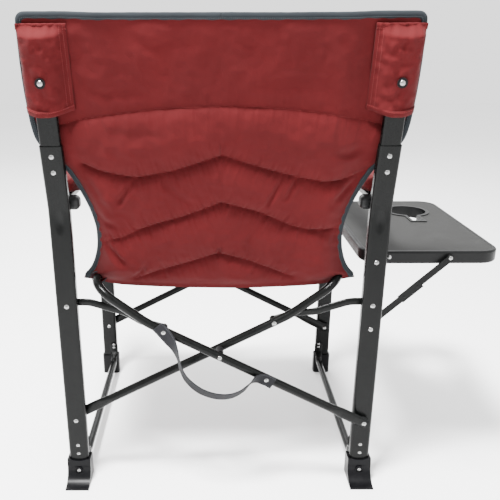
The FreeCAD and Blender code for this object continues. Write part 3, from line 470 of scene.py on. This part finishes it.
ARCH = [(x, 0.771 - 0.029 * (abs(x) / 0.273) ** 2 - 0.004 * (abs(x) / 0.273) ** 6) for x in np.linspace(-0.30, 0.30, 41)]
SEAM1 = [(0.245, 0.668), (0.218, 0.657), (0.181, 0.650), (0.150, 0.645), (0.128, 0.649), (0.083, 0.658), (0.037, 0.673), (-0.003, 0.686),
         (-0.043, 0.672), (-0.092, 0.657), (-0.143, 0.644), (-0.189, 0.636), (-0.222, 0.640), (-0.262, 0.654)]
SEAM2 = [(0.236, 0.520), (0.216, 0.519), (0.178, 0.529), (0.152, 0.543), (0.114, 0.556), (0.067, 0.570), (-0.003, 0.597), (-0.072, 0.577),
         (-0.105, 0.562), (-0.134, 0.549), (-0.168, 0.542), (-0.236, 0.545)]
SEAM3 = [(0.164, 0.438), (0.118, 0.455), (0.069, 0.471), (0.001, 0.494), (-0.056, 0.477), (-0.142, 0.441)]
SEAMS = [ARCH, SEAM1, SEAM2, SEAM3]
# pulls in the cloth: line, depth in mm, half width in mm
PULLS = [
    ([(0.155, 0.643), (0.170, 0.620), (0.188, 0.596)], 2.6, 5), ([(-0.111, 0.645), (-0.094, 0.612), (-0.077, 0.582)], 2.4, 4.5),
    ([(-0.139, 0.642), (-0.128, 0.625), (-0.119, 0.606)], 1.8, 4), ([(0.230, 0.525), (0.205, 0.499), (0.180, 0.474)], 4.0, 6),
    ([(-0.206, 0.600), (-0.235, 0.625), (-0.262, 0.652)], 4.2, 7), ([(-0.003, 0.713), (-0.003, 0.686)], 1.6, 4),
    ([(-0.003, 0.680), (-0.002, 0.640), (-0.003, 0.600)], 1.0, 5), ([(0.001, 0.512), (0.001, 0.494)], 1.8, 3.5),
    ([(0.102, 0.636), (0.076, 0.615), (0.050, 0.598)], 1.4, 6), ([(0.028, 0.590), (0.036, 0.574), (0.030, 0.560)], 1.2, 4),
    ([(-0.222, 0.545), (-0.215, 0.520), (-0.224, 0.500)], 2.0, 6), ([(0.142, 0.474), (0.150, 0.458), (0.166, 0.440)], 3.0, 5),
    ([(0.236, 0.575), (0.214, 0.560), (0.196, 0.552)], 2.6, 6), ([(-0.060, 0.540), (-0.050, 0.515), (-0.055, 0.500)], 1.0, 5),
    ([(0.205, 0.735), (0.160, 0.722), (0.110, 0.724)], 1.2, 10), ([(-0.250, 0.700), (-0.225, 0.690), (-0.200, 0.694)], 2.2, 8),
    ([(0.150, 0.880), (0.100, 0.868), (0.035, 0.872)], 1.4, 10), ([(-0.060, 0.800), (-0.110, 0.812), (-0.175, 0.806)], 1.3, 11),
    ([(0.235, 0.800), (0.190, 0.790), (0.135, 0.795)], 1.4, 9), ([(0.247, 0.655), (0.225, 0.615), (0.212, 0.590)], 2.2, 7),
]


def back_height(x, z, side):
    """Half thickness of the padded sheet in metres; side 1 the rear face, -1 the front face."""
    ex = edge_x(z)
    d_edge = np.minimum(np.minimum((ex - np.abs(x)) * 0.93, top_z(x) - z), z - bottom_z(x))
    d_edge = np.maximum(d_edge, 0)
    dall = np.full(x.shape, 1e9)
    puck = np.zeros(x.shape)
    for k, s in enumerate(SEAMS):
        d, arc = near(x, z, s)
        dall = np.minimum(dall, d)
        puck += pucker(arc, 40 + k + (7 if side < 0 else 0)) * np.exp(-d / 0.015) * (1 - np.exp(-d / 0.003))
    arch = np.interp(np.abs(x), [0, 0.1, 0.2, 0.273, 0.33], [0.771, 0.7669, 0.7545, 0.739, 0.727])
    padded_zone = 1 / (1 + np.exp(-(arch - z) / 0.0022))
    full = 0.0140 * padded_zone + 0.0020 * (1 - padded_zone)
    rise = 1 - np.exp(-((dall / 0.0135) ** 1.0))
    rim = 1 - np.exp(-((np.maximum(d_edge - 0.007, 0) / 0.016) ** 1.4))
    h = 0.0026 + full * rise * rim
    h += 0.0018 * puck * rim * (0.35 + 0.65 * padded_zone)
    h -= 0.0016 * np.exp(-((dall / 0.0021) ** 2)) * rim
    h += rim * rise * (0.0014 * ripple(x, z, 5 if side > 0 else 8, 0.045, 0.16) + 0.00045 * ripple(x, z, 6, 0.014, 0.035))
    for line, depth, half in PULLS:
        d, arc = near(x, z, line)
        depth, half = depth / 1000, half / 1000
        tot = sum(math.hypot(b[0] - a[0], b[1] - a[1]) for a, b in zip(line[:-1], line[1:]))
        fade = np.sin(math.pi * np.clip(arc / tot, 0.02, 0.98)) ** 0.5
        h -= 1.7 * fade * depth * (np.exp(-((d / half) ** 2)) - 0.42 * np.exp(-(((d - 1.9 * half) / (1.1 * half)) ** 2))) * rim * (1 if side > 0 else 0.6)
    # cloth drawn in towards the waist on both sides
    waist = np.exp(-(((z - 0.535) / 0.07) ** 2)) * np.exp(-((ex - np.abs(x)) / 0.035))
    h += waist * 0.0009 * np.sin((z - 0.53 + 0.35 * (np.abs(x) - 0.2)) * 2 * math.pi / 0.021 + x * 9)
    return np.maximum(h, 0.0018)


def back_mid(x, z):
    t = np.clip((np.abs(x) - 0.19) / 0.07, 0, 1)
    t = t * t * (3 - 2 * t)
    return -0.005 - 0.0115 * t + 0.0012 * ripple(x, z, 21, 0.12, 0.4) * (1 - t)


def back_point(x, z, u):
    v = (z - 0.585) / CR
    return np.stack([x + SX, u * CR + v * SR + SY, 0.585 - u * SR + v * CR], -1)


NS, NZ = 118, 178
DEPTH = np.array([0.0, -SR, 0.0])
UREAR = np.array([0.0, CR, -SR])
for side, s in (("left", 1), ("right", -1)):
    t = np.linspace(0, 1, NZ)[:, None]
    q = np.linspace(0, 1, NS)[None, :]
    x_guess = q * 0.268
    zb = bottom_z(x_guess)
    z = zb + (top_z(q * 0.3285) - zb) * t
    x = q * edge_x(z)
    x = s * x
    um = back_mid(x, z)
    rear = back_point(x, z, um + back_height(x, z, 1)).reshape(-1, 3)
    front = back_point(x, z, um - back_height(x, z, -1)).reshape(-1, 3)
    n = NS * NZ
    verts = np.concatenate([rear, front])
    faces = [grid_faces(NZ, NS, 0), grid_faces(NZ, NS, n, True)]
    edge = []
    ring_ids = [i * NS + NS - 1 for i in range(NZ)]
    mid_ids = [i * NS for i in range(NZ)]
    low_ids = list(range(NS))
    top_ids = [(NZ - 1) * NS + j for j in range(NS)]
    for ids in (ring_ids, mid_ids, low_ids, top_ids):
        for a, b in zip(ids[:-1], ids[1:]):
            edge.append((a, b, b + n, a + n))
    o = make("back_cloth_" + side, verts, np.concatenate(faces).tolist() + edge, RED)
    outward(o)
    sharp(o, 55)
    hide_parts("back_panel_" + side)
    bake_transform(o)

    # binding along the outer edge, from the bottom corner up the side and over the top
    zz = np.linspace(0.4335, 0.897, 149)
    outline = [(0.2655, 0.4325)] + [(float(edge_x(a)), float(a)) for a in zz] + [(float(a), float(top_z(a)) + 0.0004) for a in 0.314 + 0.0143 * np.sin(np.linspace(1.45, 0.1, 9))]
    outline += [(a, 0.9164) for a in np.linspace(0.312, 0.0, 70)]
    O = np.array(outline)
    O = curve_through(O[:: 3] if (len(O) - 1) % 3 == 0 else np.concatenate([O[::3], O[-1:]]), 230)
    T = np.gradient(O, axis=0)
    T /= np.linalg.norm(T, axis=1)[:, None]
    inn = np.stack([-T[:, 1], T[:, 0]], 1)          # inward, for a line that climbs on +X
    um = back_mid(s * O[:, 0], O[:, 1])
    C = back_point(s * O[:, 0], O[:, 1], um)
    A = np.stack([s * inn[:, 0], inn[:, 1] * SR, inn[:, 1] * CR], 1)
    B = np.repeat(UREAR[None, :], len(O), 0)
    wob = 1 + 0.05 * np.sin(np.arange(len(O)) * 0.9) + 0.04 * np.sin(np.arange(len(O)) * 0.37)
    prof = [(0.0098, 0.0030), (0.0085, 0.0042), (0.0045, 0.0047), (0.0008, 0.0040), (-0.0009, 0.0018), (-0.0012, 0.0), (-0.0009, -0.0018),
            (0.0008, -0.0040), (0.0045, -0.0047), (0.0085, -0.0042), (0.0098, -0.0030)]
    bn = sweep("back_binding_" + side, C, A * wob[:, None], B, prof, TRIM)
    st = stitches("back_binding_stitch_" + side, C + A * 0.0072 + B * 0.0046, B, THREAD_DARK)
    st2 = stitches("back_binding_stitch_front_" + side, C + A * 0.0072 - B * 0.0046, -B, THREAD_DARK)
    for p in (bn, st, st2):
        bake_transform(p)

    # stitch rows in the seams
    for k, line in enumerate(SEAMS):
        P = curve_through(line, 160) if k == 0 else np.concatenate([np.stack([np.linspace(a[0], b[0], 12, endpoint=False), np.linspace(a[1], b[1], 12, endpoint=False)], 1) for a, b in zip(line[:-1], line[1:])])
        keep = (P[:, 0] * s > 0.001) & (np.abs(P[:, 0]) < edge_x(P[:, 1]) - 0.008)
        P = P[keep]
        if len(P) < 4:
            continue
        for face, nm in ((1, ""), (-1, "_front")):
            hh = back_height(P[:, 0], P[:, 1], face)
            pts = back_point(P[:, 0], P[:, 1], back_mid(P[:, 0], P[:, 1]) + face * (hh + 0.0002))
            r = stitches("back_seam_%d%s_%s" % (k + 1, nm, side), pts, np.repeat((UREAR * face)[None, :], len(P), 0), THREAD)
            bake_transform(r)

    # pocket that slides over the post: outer cloth, open at both ends
    nz, nx = 64, 60
    zz = np.linspace(0, 1, nz)[:, None]
    base = curve_through([(0.3285, -0.0130), (0.3262, -0.002), (0.3195, 0.0078), (0.3080, 0.0118), (0.2950, 0.0125), (0.2830, 0.0118),
                          (0.2725, 0.0075), (0.2635, 0.0005), (0.2560, -0.0065), (0.2480, -0.0095)], nx)
    px = np.repeat(base[None, :, 0], nz, 0)
    pu = np.repeat(base[None, :, 1], nz, 0)
    hump = np.exp(-(((px - 0.295) / 0.026) ** 2))
    close = np.clip((zz - 0.86) / 0.13, 0, 1)
    close = close * close * (3 - 2 * close)
    zlo = 0.7640 - 0.0035 * np.sin(np.clip((0.33 - px) / 0.08, 0, 1) * math.pi) - 0.002 * hump
    zhi = 0.9005 + 0.0 * hump
    pz = zlo + (zhi - zlo) * zz
    flare = np.exp(-((zz * 1.0) / 0.09))
    pu = pu + hump * flare * 0.0045
    pu = pu * (1 - close) + (-0.0085 + 0.0009 * np.sin(px * 2 * math.pi / 0.0125 + 1.3 * s)) * close
    pu = pu + (0.0003 * np.sin(px * 2 * math.pi / 0.0105 + 0.6) * np.exp(-(((zz - 0.80) / 0.09) ** 2)))
    wr = 0.0006 * ripple(px, pz, 31 if s > 0 else 32, 0.018, 0.07, turn=0.4, spread=0.8)
    wr += 0.0007 * ripple(px, pz, 33, 0.01, 0.03)
    taper = np.clip(np.minimum(np.arange(nx), nx - 1 - np.arange(nx)) / 7.0, 0, 1)[None, :]
    outer = pu + (wr + 0.0012) * taper + 0.0006
    inner = outer - 0.0016 - 0.0002
    ids = nx * nz
    po = back_point(s * px, pz, outer).reshape(-1, 3)
    pi = back_point(s * px, pz, inner).reshape(-1, 3)
    fs = [grid_faces(nz, nx, 0), grid_faces(nz, nx, ids, True)]
    edge = []
    for ring in ([i * nx for i in range(nz)], [i * nx + nx - 1 for i in range(nz)], list(range(nx)), [(nz - 1) * nx + j for j in range(nx)]):
        for a, b in zip(ring[:-1], ring[1:]):
            edge.append((a, b, b + ids, a + ids))
    pk = make("back_pocket_" + side, np.concatenate([po, pi]), np.concatenate(fs).tolist() + edge, RED)
    outward(pk)
    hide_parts("back_sleeve_" + side)
    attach(pk, side + "_frame")
    # hem rolls at the pocket's open ends, and its rows of stitching
    nrm = np.gradient(np.stack([px[0], outer[0]], 1), axis=0)
    nrm = np.stack([nrm[:, 1], -nrm[:, 0]], 1)
    nrm /= np.linalg.norm(nrm, axis=1)[:, None]
    n3 = np.stack([s * nrm[:, 0], nrm[:, 1] * CR, -nrm[:, 1] * SR], 1)
    up = np.repeat(np.array([[0.0, SR, CR]]), nx, 0)
    for row, nm, sg in ((0, "low", 1), (nz - 1, "top", -1)):
        c0 = back_point(s * px[row], pz[row] + sg * 0.0045, outer[row] - 0.0003)
        hem = sweep("pocket_hem_%s_%s" % (nm, side), c0, up, n3, [(-0.0050, 0.0), (-0.0046, 0.0010), (0.0040, 0.0011), (0.0050, 0.0002), (0.0050, -0.0018), (-0.0046, -0.0024)], RED)
        hs = stitches("pocket_hem_stitch_%s_%s" % (nm, side), c0 + n3 * 0.0012 + up * 0.003 * sg, n3, THREAD)
        for p in (hem, hs):
            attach(p, side + "_frame")
    for off, nm in ((3, "a"), (7, "b")):
        j = nx - 1 - off
        c0 = back_point(s * px[:, j], pz[:, j], outer[:, j] + 0.0003)
        r = stitches("pocket_seam_%s_%s" % (nm, side), c0, np.repeat(n3[j][None, :], nz, 0), THREAD)
        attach(r, side + "_frame")

# ---------------------------------------------------------------- the seat
SEAT_LINES = []
for y0 in (-0.125, -0.205, -0.285, -0.365):
    SEAT_LINES.append([(-0.236, y0 + 0.004), (-0.150, y0 + 0.030), (0.0, y0 - 0.016), (0.150, y0 + 0.030), (0.236, y0 + 0.004)])


def seat_mid(x):
    return 0.4235 + 0.020 * (np.abs(x) / 0.232) ** 1.7


def seat_height(x, y, face):
    d_edge = np.minimum(np.minimum(0.236 - np.abs(x), -0.050 - y), y + 0.420)
    d_edge = np.maximum(d_edge, 0)
    dall = np.full(x.shape, 1e9)
    puck = np.zeros(x.shape)
    for k, l in enumerate(SEAT_LINES):
        d, arc = near(x, y, l)
        dall = np.minimum(dall, d)
        puck += pucker(arc, 70 + k) * np.exp(-d / 0.015) * (1 - np.exp(-d / 0.003))
    rise = 1 - np.exp(-((dall / 0.016) ** 1.25))
    rim = 1 - np.exp(-((np.maximum(d_edge - 0.006, 0) / 0.014) ** 1.4))
    h = 0.0034 + 0.0092 * rise * rim + 0.0010 * puck * rim - 0.0015 * np.exp(-((dall / 0.0021) ** 2)) * rim
    h += rim * rise * (0.0010 * ripple(x, y, 51 if face > 0 else 52, 0.05, 0.17) + 0.0003 * ripple(x, y, 53, 0.014, 0.035))
    return np.maximum(h * (1.0 if face > 0 else 0.82), 0.002)


NA, NB = 84, 130
for side, s, fr in (("left", 1, "a"), ("right", -1, "b")):
    q = np.linspace(0, 1, NA)[None, :]
    t = np.linspace(0, 1, NB)[:, None]
    y = -0.050 - 0.370 * t + 0 * q
    x = s * (0.2345 * q) + 0 * t
    zm = seat_mid(x)
    top = np.stack([x + SX, y + SY, zm + seat_height(x, y, 1)], -1).reshape(-1, 3)
    bot = np.stack([x + SX, y + SY, zm - seat_height(x, y, -1)], -1).reshape(-1, 3)
    n = NA * NB
    edge = []
    for ring in ([i * NA for i in range(NB)], [i * NA + NA - 1 for i in range(NB)], list(range(NA)), [(NB - 1) * NA + j for j in range(NA)]):
        for a, b in zip(ring[:-1], ring[1:]):
            edge.append((a, b, b + n, a + n))
    o = make("seat_cloth_" + side, np.concatenate([top, bot]), np.concatenate([grid_faces(NB, NA, 0), grid_faces(NB, NA, n, True)]).tolist() + edge, RED_FLAT)
    outward(o)
    sharp(o, 55)
    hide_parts("seat_panel_" + side)
    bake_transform(o)
    # stitching in the channels
    for k, line in enumerate(SEAT_LINES):
        P = np.concatenate([np.stack([np.linspace(a[0], b[0], 30, endpoint=False), np.linspace(a[1], b[1], 30, endpoint=False)], 1) for a, b in zip(line[:-1], line[1:])])
        P = P[(P[:, 0] * s > 0.001) & (np.abs(P[:, 0]) < 0.226)]
        pts = np.stack([P[:, 0] + SX, P[:, 1] + SY, seat_mid(P[:, 0]) + seat_height(P[:, 0], P[:, 1], 1) + 0.0002], 1)
        r = stitches("seat_seam_%d_%s" % (k + 1, side), pts, np.repeat([[0, 0, 1.0]], len(P), 0), THREAD)
        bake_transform(r)
    # bindings at the front and rear edges
    for yy, nm, sg in ((-0.050, "rear", -1), (-0.420, "front", 1)):
        xs = np.linspace(0.0, 0.2345, 50)
        C = np.stack([s * xs + SX, 0 * xs + yy + SY, seat_mid(xs)], 1)
        A = np.repeat([[0, sg * 1.0, 0]], 50, 0)
        T = np.gradient(C, axis=0)
        T /= np.linalg.norm(T, axis=1)[:, None]
        B = np.cross(T, A)
        B *= np.sign(B[:, 2])[:, None]
        prof = [(0.0100, 0.0038), (0.0085, 0.0052), (0.0045, 0.0056), (0.0006, 0.0048), (-0.0010, 0.002), (-0.0013, 0.0), (-0.0010, -0.002),
                (0.0006, -0.0044), (0.0045, -0.0050), (0.0085, -0.0046), (0.0100, -0.0034)]
        b = sweep("seat_binding_%s_%s" % (nm, side), C, A, B, prof, TRIM)
        st = stitches("seat_binding_stitch_%s_%s" % (nm, side), C + A * 0.0072 + B * 0.0055, B, THREAD_DARK)
        for p in (b, st):
            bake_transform(p)
    # sleeve round the seat rail
    ya, yb = ((-0.034, -0.404) if fr == "a" else (-0.0655, -0.4215))
    loop = curve_through([(0.2225, 0.4440), (0.2290, 0.4488), (0.2390, 0.4512), (0.2475, 0.4475), (0.2508, 0.4400), (0.2475, 0.4325), (0.2390, 0.4288),
                          (0.2290, 0.4312), (0.2225, 0.4380)], 40)
    m = 90
    tt = np.linspace(0, 1, m)[:, None]
    lx = np.repeat(loop[None, :, 0], m, 0)
    lz = np.repeat(loop[None, :, 1], m, 0)
    yy = ya + (yb - ya) * tt + 0 * lx
    ax, az = lx - 0.239, lz - 0.440
    rr = np.hypot(ax, az)
    wr = 0.0005 * ripple(yy, np.arctan2(az, ax) * 0.012, 61 if s > 0 else 62, 0.012, 0.06) + 0.0004
    k = 1 + wr / rr
    out = np.stack([s * (0.239 + ax * k) + SX, yy + SY, 0.440 + az * k], -1).reshape(-1, 3)
    kin = 1 - 0.0016 / rr
    inn = np.stack([s * (0.239 + ax * kin) + SX, yy + SY, 0.440 + az * kin], -1).reshape(-1, 3)
    n = m * 40
    edge = []
    for ring in ([i * 40 for i in range(m)], [i * 40 + 39 for i in range(m)], list(range(40)), [(m - 1) * 40 + j for j in range(40)]):
        for a, b in zip(ring[:-1], ring[1:]):
            edge.append((a, b, b + n, a + n))
    sl = make("seat_sleeve_cloth_" + side, np.concatenate([out, inn]), np.concatenate([grid_faces(m, 40, 0), grid_faces(m, 40, n, True)]).tolist() + edge, RED_FLAT)
    outward(sl)
    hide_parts("seat_sleeve_" + side)
    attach(sl, "cross_" + fr)
    # black end bands on the sleeve
    for ye, nm in ((ya, "rear"), (yb, "front")):
        sg = -1 if nm == "rear" else 1
        C = np.array([[s * 0.239 + SX, ye + SY - sg * 0.0006, 0.440], [s * 0.239 + SX, ye + SY + sg * 0.009, 0.440]])
        pr = [((lx[0, j] - 0.239) * (1 + 0.0013 / rr[0, j]), (lz[0, j] - 0.440) * (1 + 0.0013 / rr[0, j])) for j in range(40)]
        pr2 = [((lx[0, j] - 0.239) * (1 - 0.0006 / rr[0, j]), (lz[0, j] - 0.440) * (1 - 0.0006 / rr[0, j])) for j in range(39, -1, -1)]
        Cs = np.linspace(C[0], C[1], 6)
        bd = sweep("seat_sleeve_band_%s_%s" % (nm, side), Cs, np.repeat([[s * 1.0, 0, 0]], 6, 0), np.repeat([[0, 0, 1.0]], 6, 0), pr + pr2, TRIM)
        sharp(bd, 50)
        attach(bd, "cross_" + fr)

# ---------------------------------------------------------------- arm pads
for side, s in (("left", 1), ("right", -1)):
    (x0, y0, z0), (x1, y1, z1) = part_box("arm_pad_" + side)
    cx, hw = (x0 + x1) / 2, (x1 - x0) / 2
    n1, n2 = 150, 72
    tt = np.linspace(0, 1, n1)[:, None]
    th = np.linspace(0, 2 * math.pi, n2, endpoint=False)[None, :]
    e = 0.55
    cxs = np.sign(np.cos(th)) * np.abs(np.cos(th)) ** e
    czs = np.sign(np.sin(th)) * np.abs(np.sin(th)) ** (e + 0.12)
    # ends pull in
    endf = np.clip(1 - np.abs(2 * tt - 1) ** 26, 0, 1) ** 0.5
    endf = 0.12 + 0.88 * endf
    yy = y0 + 0.001 + (y1 - y0 - 0.002) * (0.5 - 0.5 * np.cos(math.pi * (tt ** 0.92))) * 0 + (y0 + 0.0015 + (y1 - y0 - 0.003) * tt) * 1.0 - (y0 + 0.001) * 1.0
    yy = y0 + 0.0015 + (y1 - y0 - 0.003) * tt + 0 * th
    puff = 0.0016 * ripple(yy, th * 0.02 + 0 * yy, 81 if s > 0 else 82, 0.03, 0.11) + 0.0006 * ripple(yy, th * 0.03 + 0 * yy, 83, 0.01, 0.03)
    crown = 0.0025 * np.sin(math.pi * np.clip(tt, 0, 1)) * (czs > 0)
    rx = (hw - 0.0022) * endf
    rz = ((z1 - z0) / 2 - 0.0015) * endf
    dent = 0.0035 * np.exp(-((np.abs(tt - 0.0) / 0.02) ** 2)) + 0.0035 * np.exp(-((np.abs(tt - 1.0) / 0.02) ** 2))
    X = cx + (rx + puff - 0.0015) * cxs
    Z = (z0 + z1) / 2 + (rz + puff * 0.8 - 0.0015) * czs + crown - 0.001
    Z = np.maximum(Z, z0 + 0.0005)
    V3 = np.stack([X, yy, Z], -1).reshape(-1, 3)
    faces = []
    for i in range(n1 - 1):
        for j in range(n2):
            j2 = (j + 1) % n2
            faces.append((i * n2 + j, i * n2 + j2, (i + 1) * n2 + j2, (i + 1) * n2 + j))
    faces.append(tuple(range(n2))[::-1])
    faces.append(tuple((n1 - 1) * n2 + j for j in range(n2)))
    o = make("arm_cushion_" + side, V3, faces, RED_FLAT)
    outward(o)
    sharp(o, 60)
    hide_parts("arm_pad_" + side)
    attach(o, side + "_frame")
    # piping along both long edges
    for sg, nm in ((1, "outer"), (-1, "inner")):
        yl = np.linspace(y0 + 0.012, y1 - 0.012, 90)
        j = 0 if sg > 0 else n2 // 2
        rows = np.clip(((yl - y0 - 0.0015) / (y1 - y0 - 0.003) * (n1 - 1)).astype(int), 0, n1 - 1)
        jj = (6 if sg > 0 else n2 // 2 - 6)
        pts = V3.reshape(n1, n2, 3)[rows, jj]
        pts = np.stack([pts[:, 0], yl, pts[:, 2]], 1)
        ker = np.ones(5) / 5
        for c in (0, 2):
            pts[2:-2, c] = np.convolve(pts[:, c], ker, "valid")
        C = pts
        A = np.repeat([[1.0, 0, 0]], len(C), 0)
        B = np.repeat([[0, 0, 1.0]], len(C), 0)
        pr = [(0.0017 * math.cos(a), 0.0017 * math.sin(a)) for a in np.linspace(0, 2 * math.pi, 10, endpoint=False)]
        p = sweep("arm_piping_%s_%s" % (nm, side), C, A, B, pr, RED_FLAT)
        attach(p, side + "_frame")

# ---------------------------------------------------------------- carry strap
pts = [(0.1195, 0.0296, 0.3625), (0.1085, 0.0296, 0.3491), (0.0985, 0.0298, 0.3350), (0.0875, 0.033, 0.3150), (0.0795, 0.038, 0.2930), (0.0735, 0.041, 0.2720),
       (0.0610, 0.042, 0.2500), (0.0370, 0.043, 0.2290), (0.0065, 0.043, 0.2175), (-0.0200, 0.042, 0.2170), (-0.0430, 0.040, 0.2270), (-0.0590, 0.036, 0.2410),
       (-0.0740, 0.0310, 0.2490), (-0.0920, 0.0296, 0.2455), (-0.1060, 0.0296, 0.2375)]
turn = [0, 0, 12, 48, 70, 62, 46, 36, 34, 38, 50, 62, 26, 0, 0]
NSTR = 150
Pc = curve_through(pts, NSTR)
seg = np.concatenate([[0], np.cumsum(np.linalg.norm(np.diff(np.array(pts), axis=0), axis=1))])
ang = np.radians(hermite(seg, turn, np.linspace(0, seg[-1], NSTR)))
T = np.gradient(Pc, axis=0)
T /= np.linalg.norm(T, axis=1)[:, None]
Yv = np.array([0, 1.0, 0])
Nn = Yv[None, :] - T * (T @ Yv)[:, None]
Nn /= np.linalg.norm(Nn, axis=1)[:, None]
S = np.cross(T, Nn)
Nr = Nn * np.cos(ang)[:, None] + S * np.sin(ang)[:, None]
Sr = np.cross(T, Nr)
C = Pc + np.array([SX, SY, 0])
prof = []
for a in np.linspace(-1, 1, 13):
    prof.append((0.0122 * a, 0.00085 - 0.0003 * a**6 + 0.00012 * math.cos(a * 14)))
for a in np.linspace(1, -1, 13):
    prof.append((0.0122 * a, -0.00085 + 0.0003 * a**6))
strap = sweep("carry_webbing", C, Sr, Nr, prof, WEB)
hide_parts("carry_strap")
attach(strap, "cross_a")
for sg in (-1, 1):
    r = stitches("strap_stitch_%s" % ("low" if sg < 0 else "high"), C + Sr * 0.0098 * sg + Nr * 0.0010, Nr, THREAD_DARK)
    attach(r, "cross_a")

# ---------------------------------------------------------------- camera, floor and light
cam_data = bpy.data.cameras.new("view_camera")
cam = bpy.data.objects.new("view_camera", cam_data)
bpy.context.scene.collection.objects.link(cam)
cam_data.sensor_width = 36
cam_data.lens = 45.89
cam_data.shift_x = 0.0813
cam_data.shift_y = 0.0434
cam.matrix_world = Matrix.Translation((0.0223 + SX, 1.1437 + SY, 0.8692)) @ Matrix.Rotation(math.radians(179.88), 4, "Z") @ Matrix.Rotation(math.radians(90 - 19.56), 4, "X") @ Matrix.Rotation(math.radians(-0.12), 4, "Z")
bpy.context.scene.camera = cam

fm = bpy.data.meshes.new("floor")
fm.from_pydata([(-9, -9, 0), (9, -9, 0), (9, 9, 0), (-9, 9, 0)], [], [(0, 1, 2, 3)])
floor = bpy.data.objects.new("floor", fm)
floor.location = (0, 0, -0.0005)
bpy.context.scene.collection.objects.link(floor)
m, N, L, B = nodes_of("floor_paint")
co = N.new("ShaderNodeTexCoord").outputs["Object"]
r = ramp(N, [(0.3, (0.93, 0.93, 0.93)), (0.7, (0.95, 0.95, 0.95))])
L.new(noise_of(N, L, co, 1.2, 3).outputs["Fac"], r.inputs[0])
L.new(r.outputs[0], B.inputs["Base Color"])
B.inputs["Roughness"].default_value = 0.9
fm.materials.append(m)
floor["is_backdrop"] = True

world = bpy.data.worlds.new("studio")
bpy.context.scene.world = world
world.use_nodes = True
bg = world.node_tree.nodes["Background"]
bg.inputs[0].default_value = (1, 1, 1, 1)
bg.inputs[1].default_value = 1.9


def lamp(name, loc, target, size, power):
    d = bpy.data.lights.new(name, "AREA")
    d.shape = "SQUARE"
    d.size = size
    d.energy = power
    o = bpy.data.objects.new(name, d)
    o.location = loc
    o.rotation_mode = "QUATERNION"
    o.rotation_quaternion = (Vector(target) - Vector(loc)).to_track_quat("-Z", "Y")
    bpy.context.scene.collection.objects.link(o)


lamp("key", (0.7, 0.85, 3.4), (0, 0, 0.45), 0.7, 620)
lamp("fill", (-2.4, 1.9, 1.5), (0, 0, 0.5), 1.8, 28)
lamp("front", (0.3, -2.6, 2.4), (0, 0, 0.5), 2.0, 90)

bpy.context.view_layer.update()
lo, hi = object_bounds()
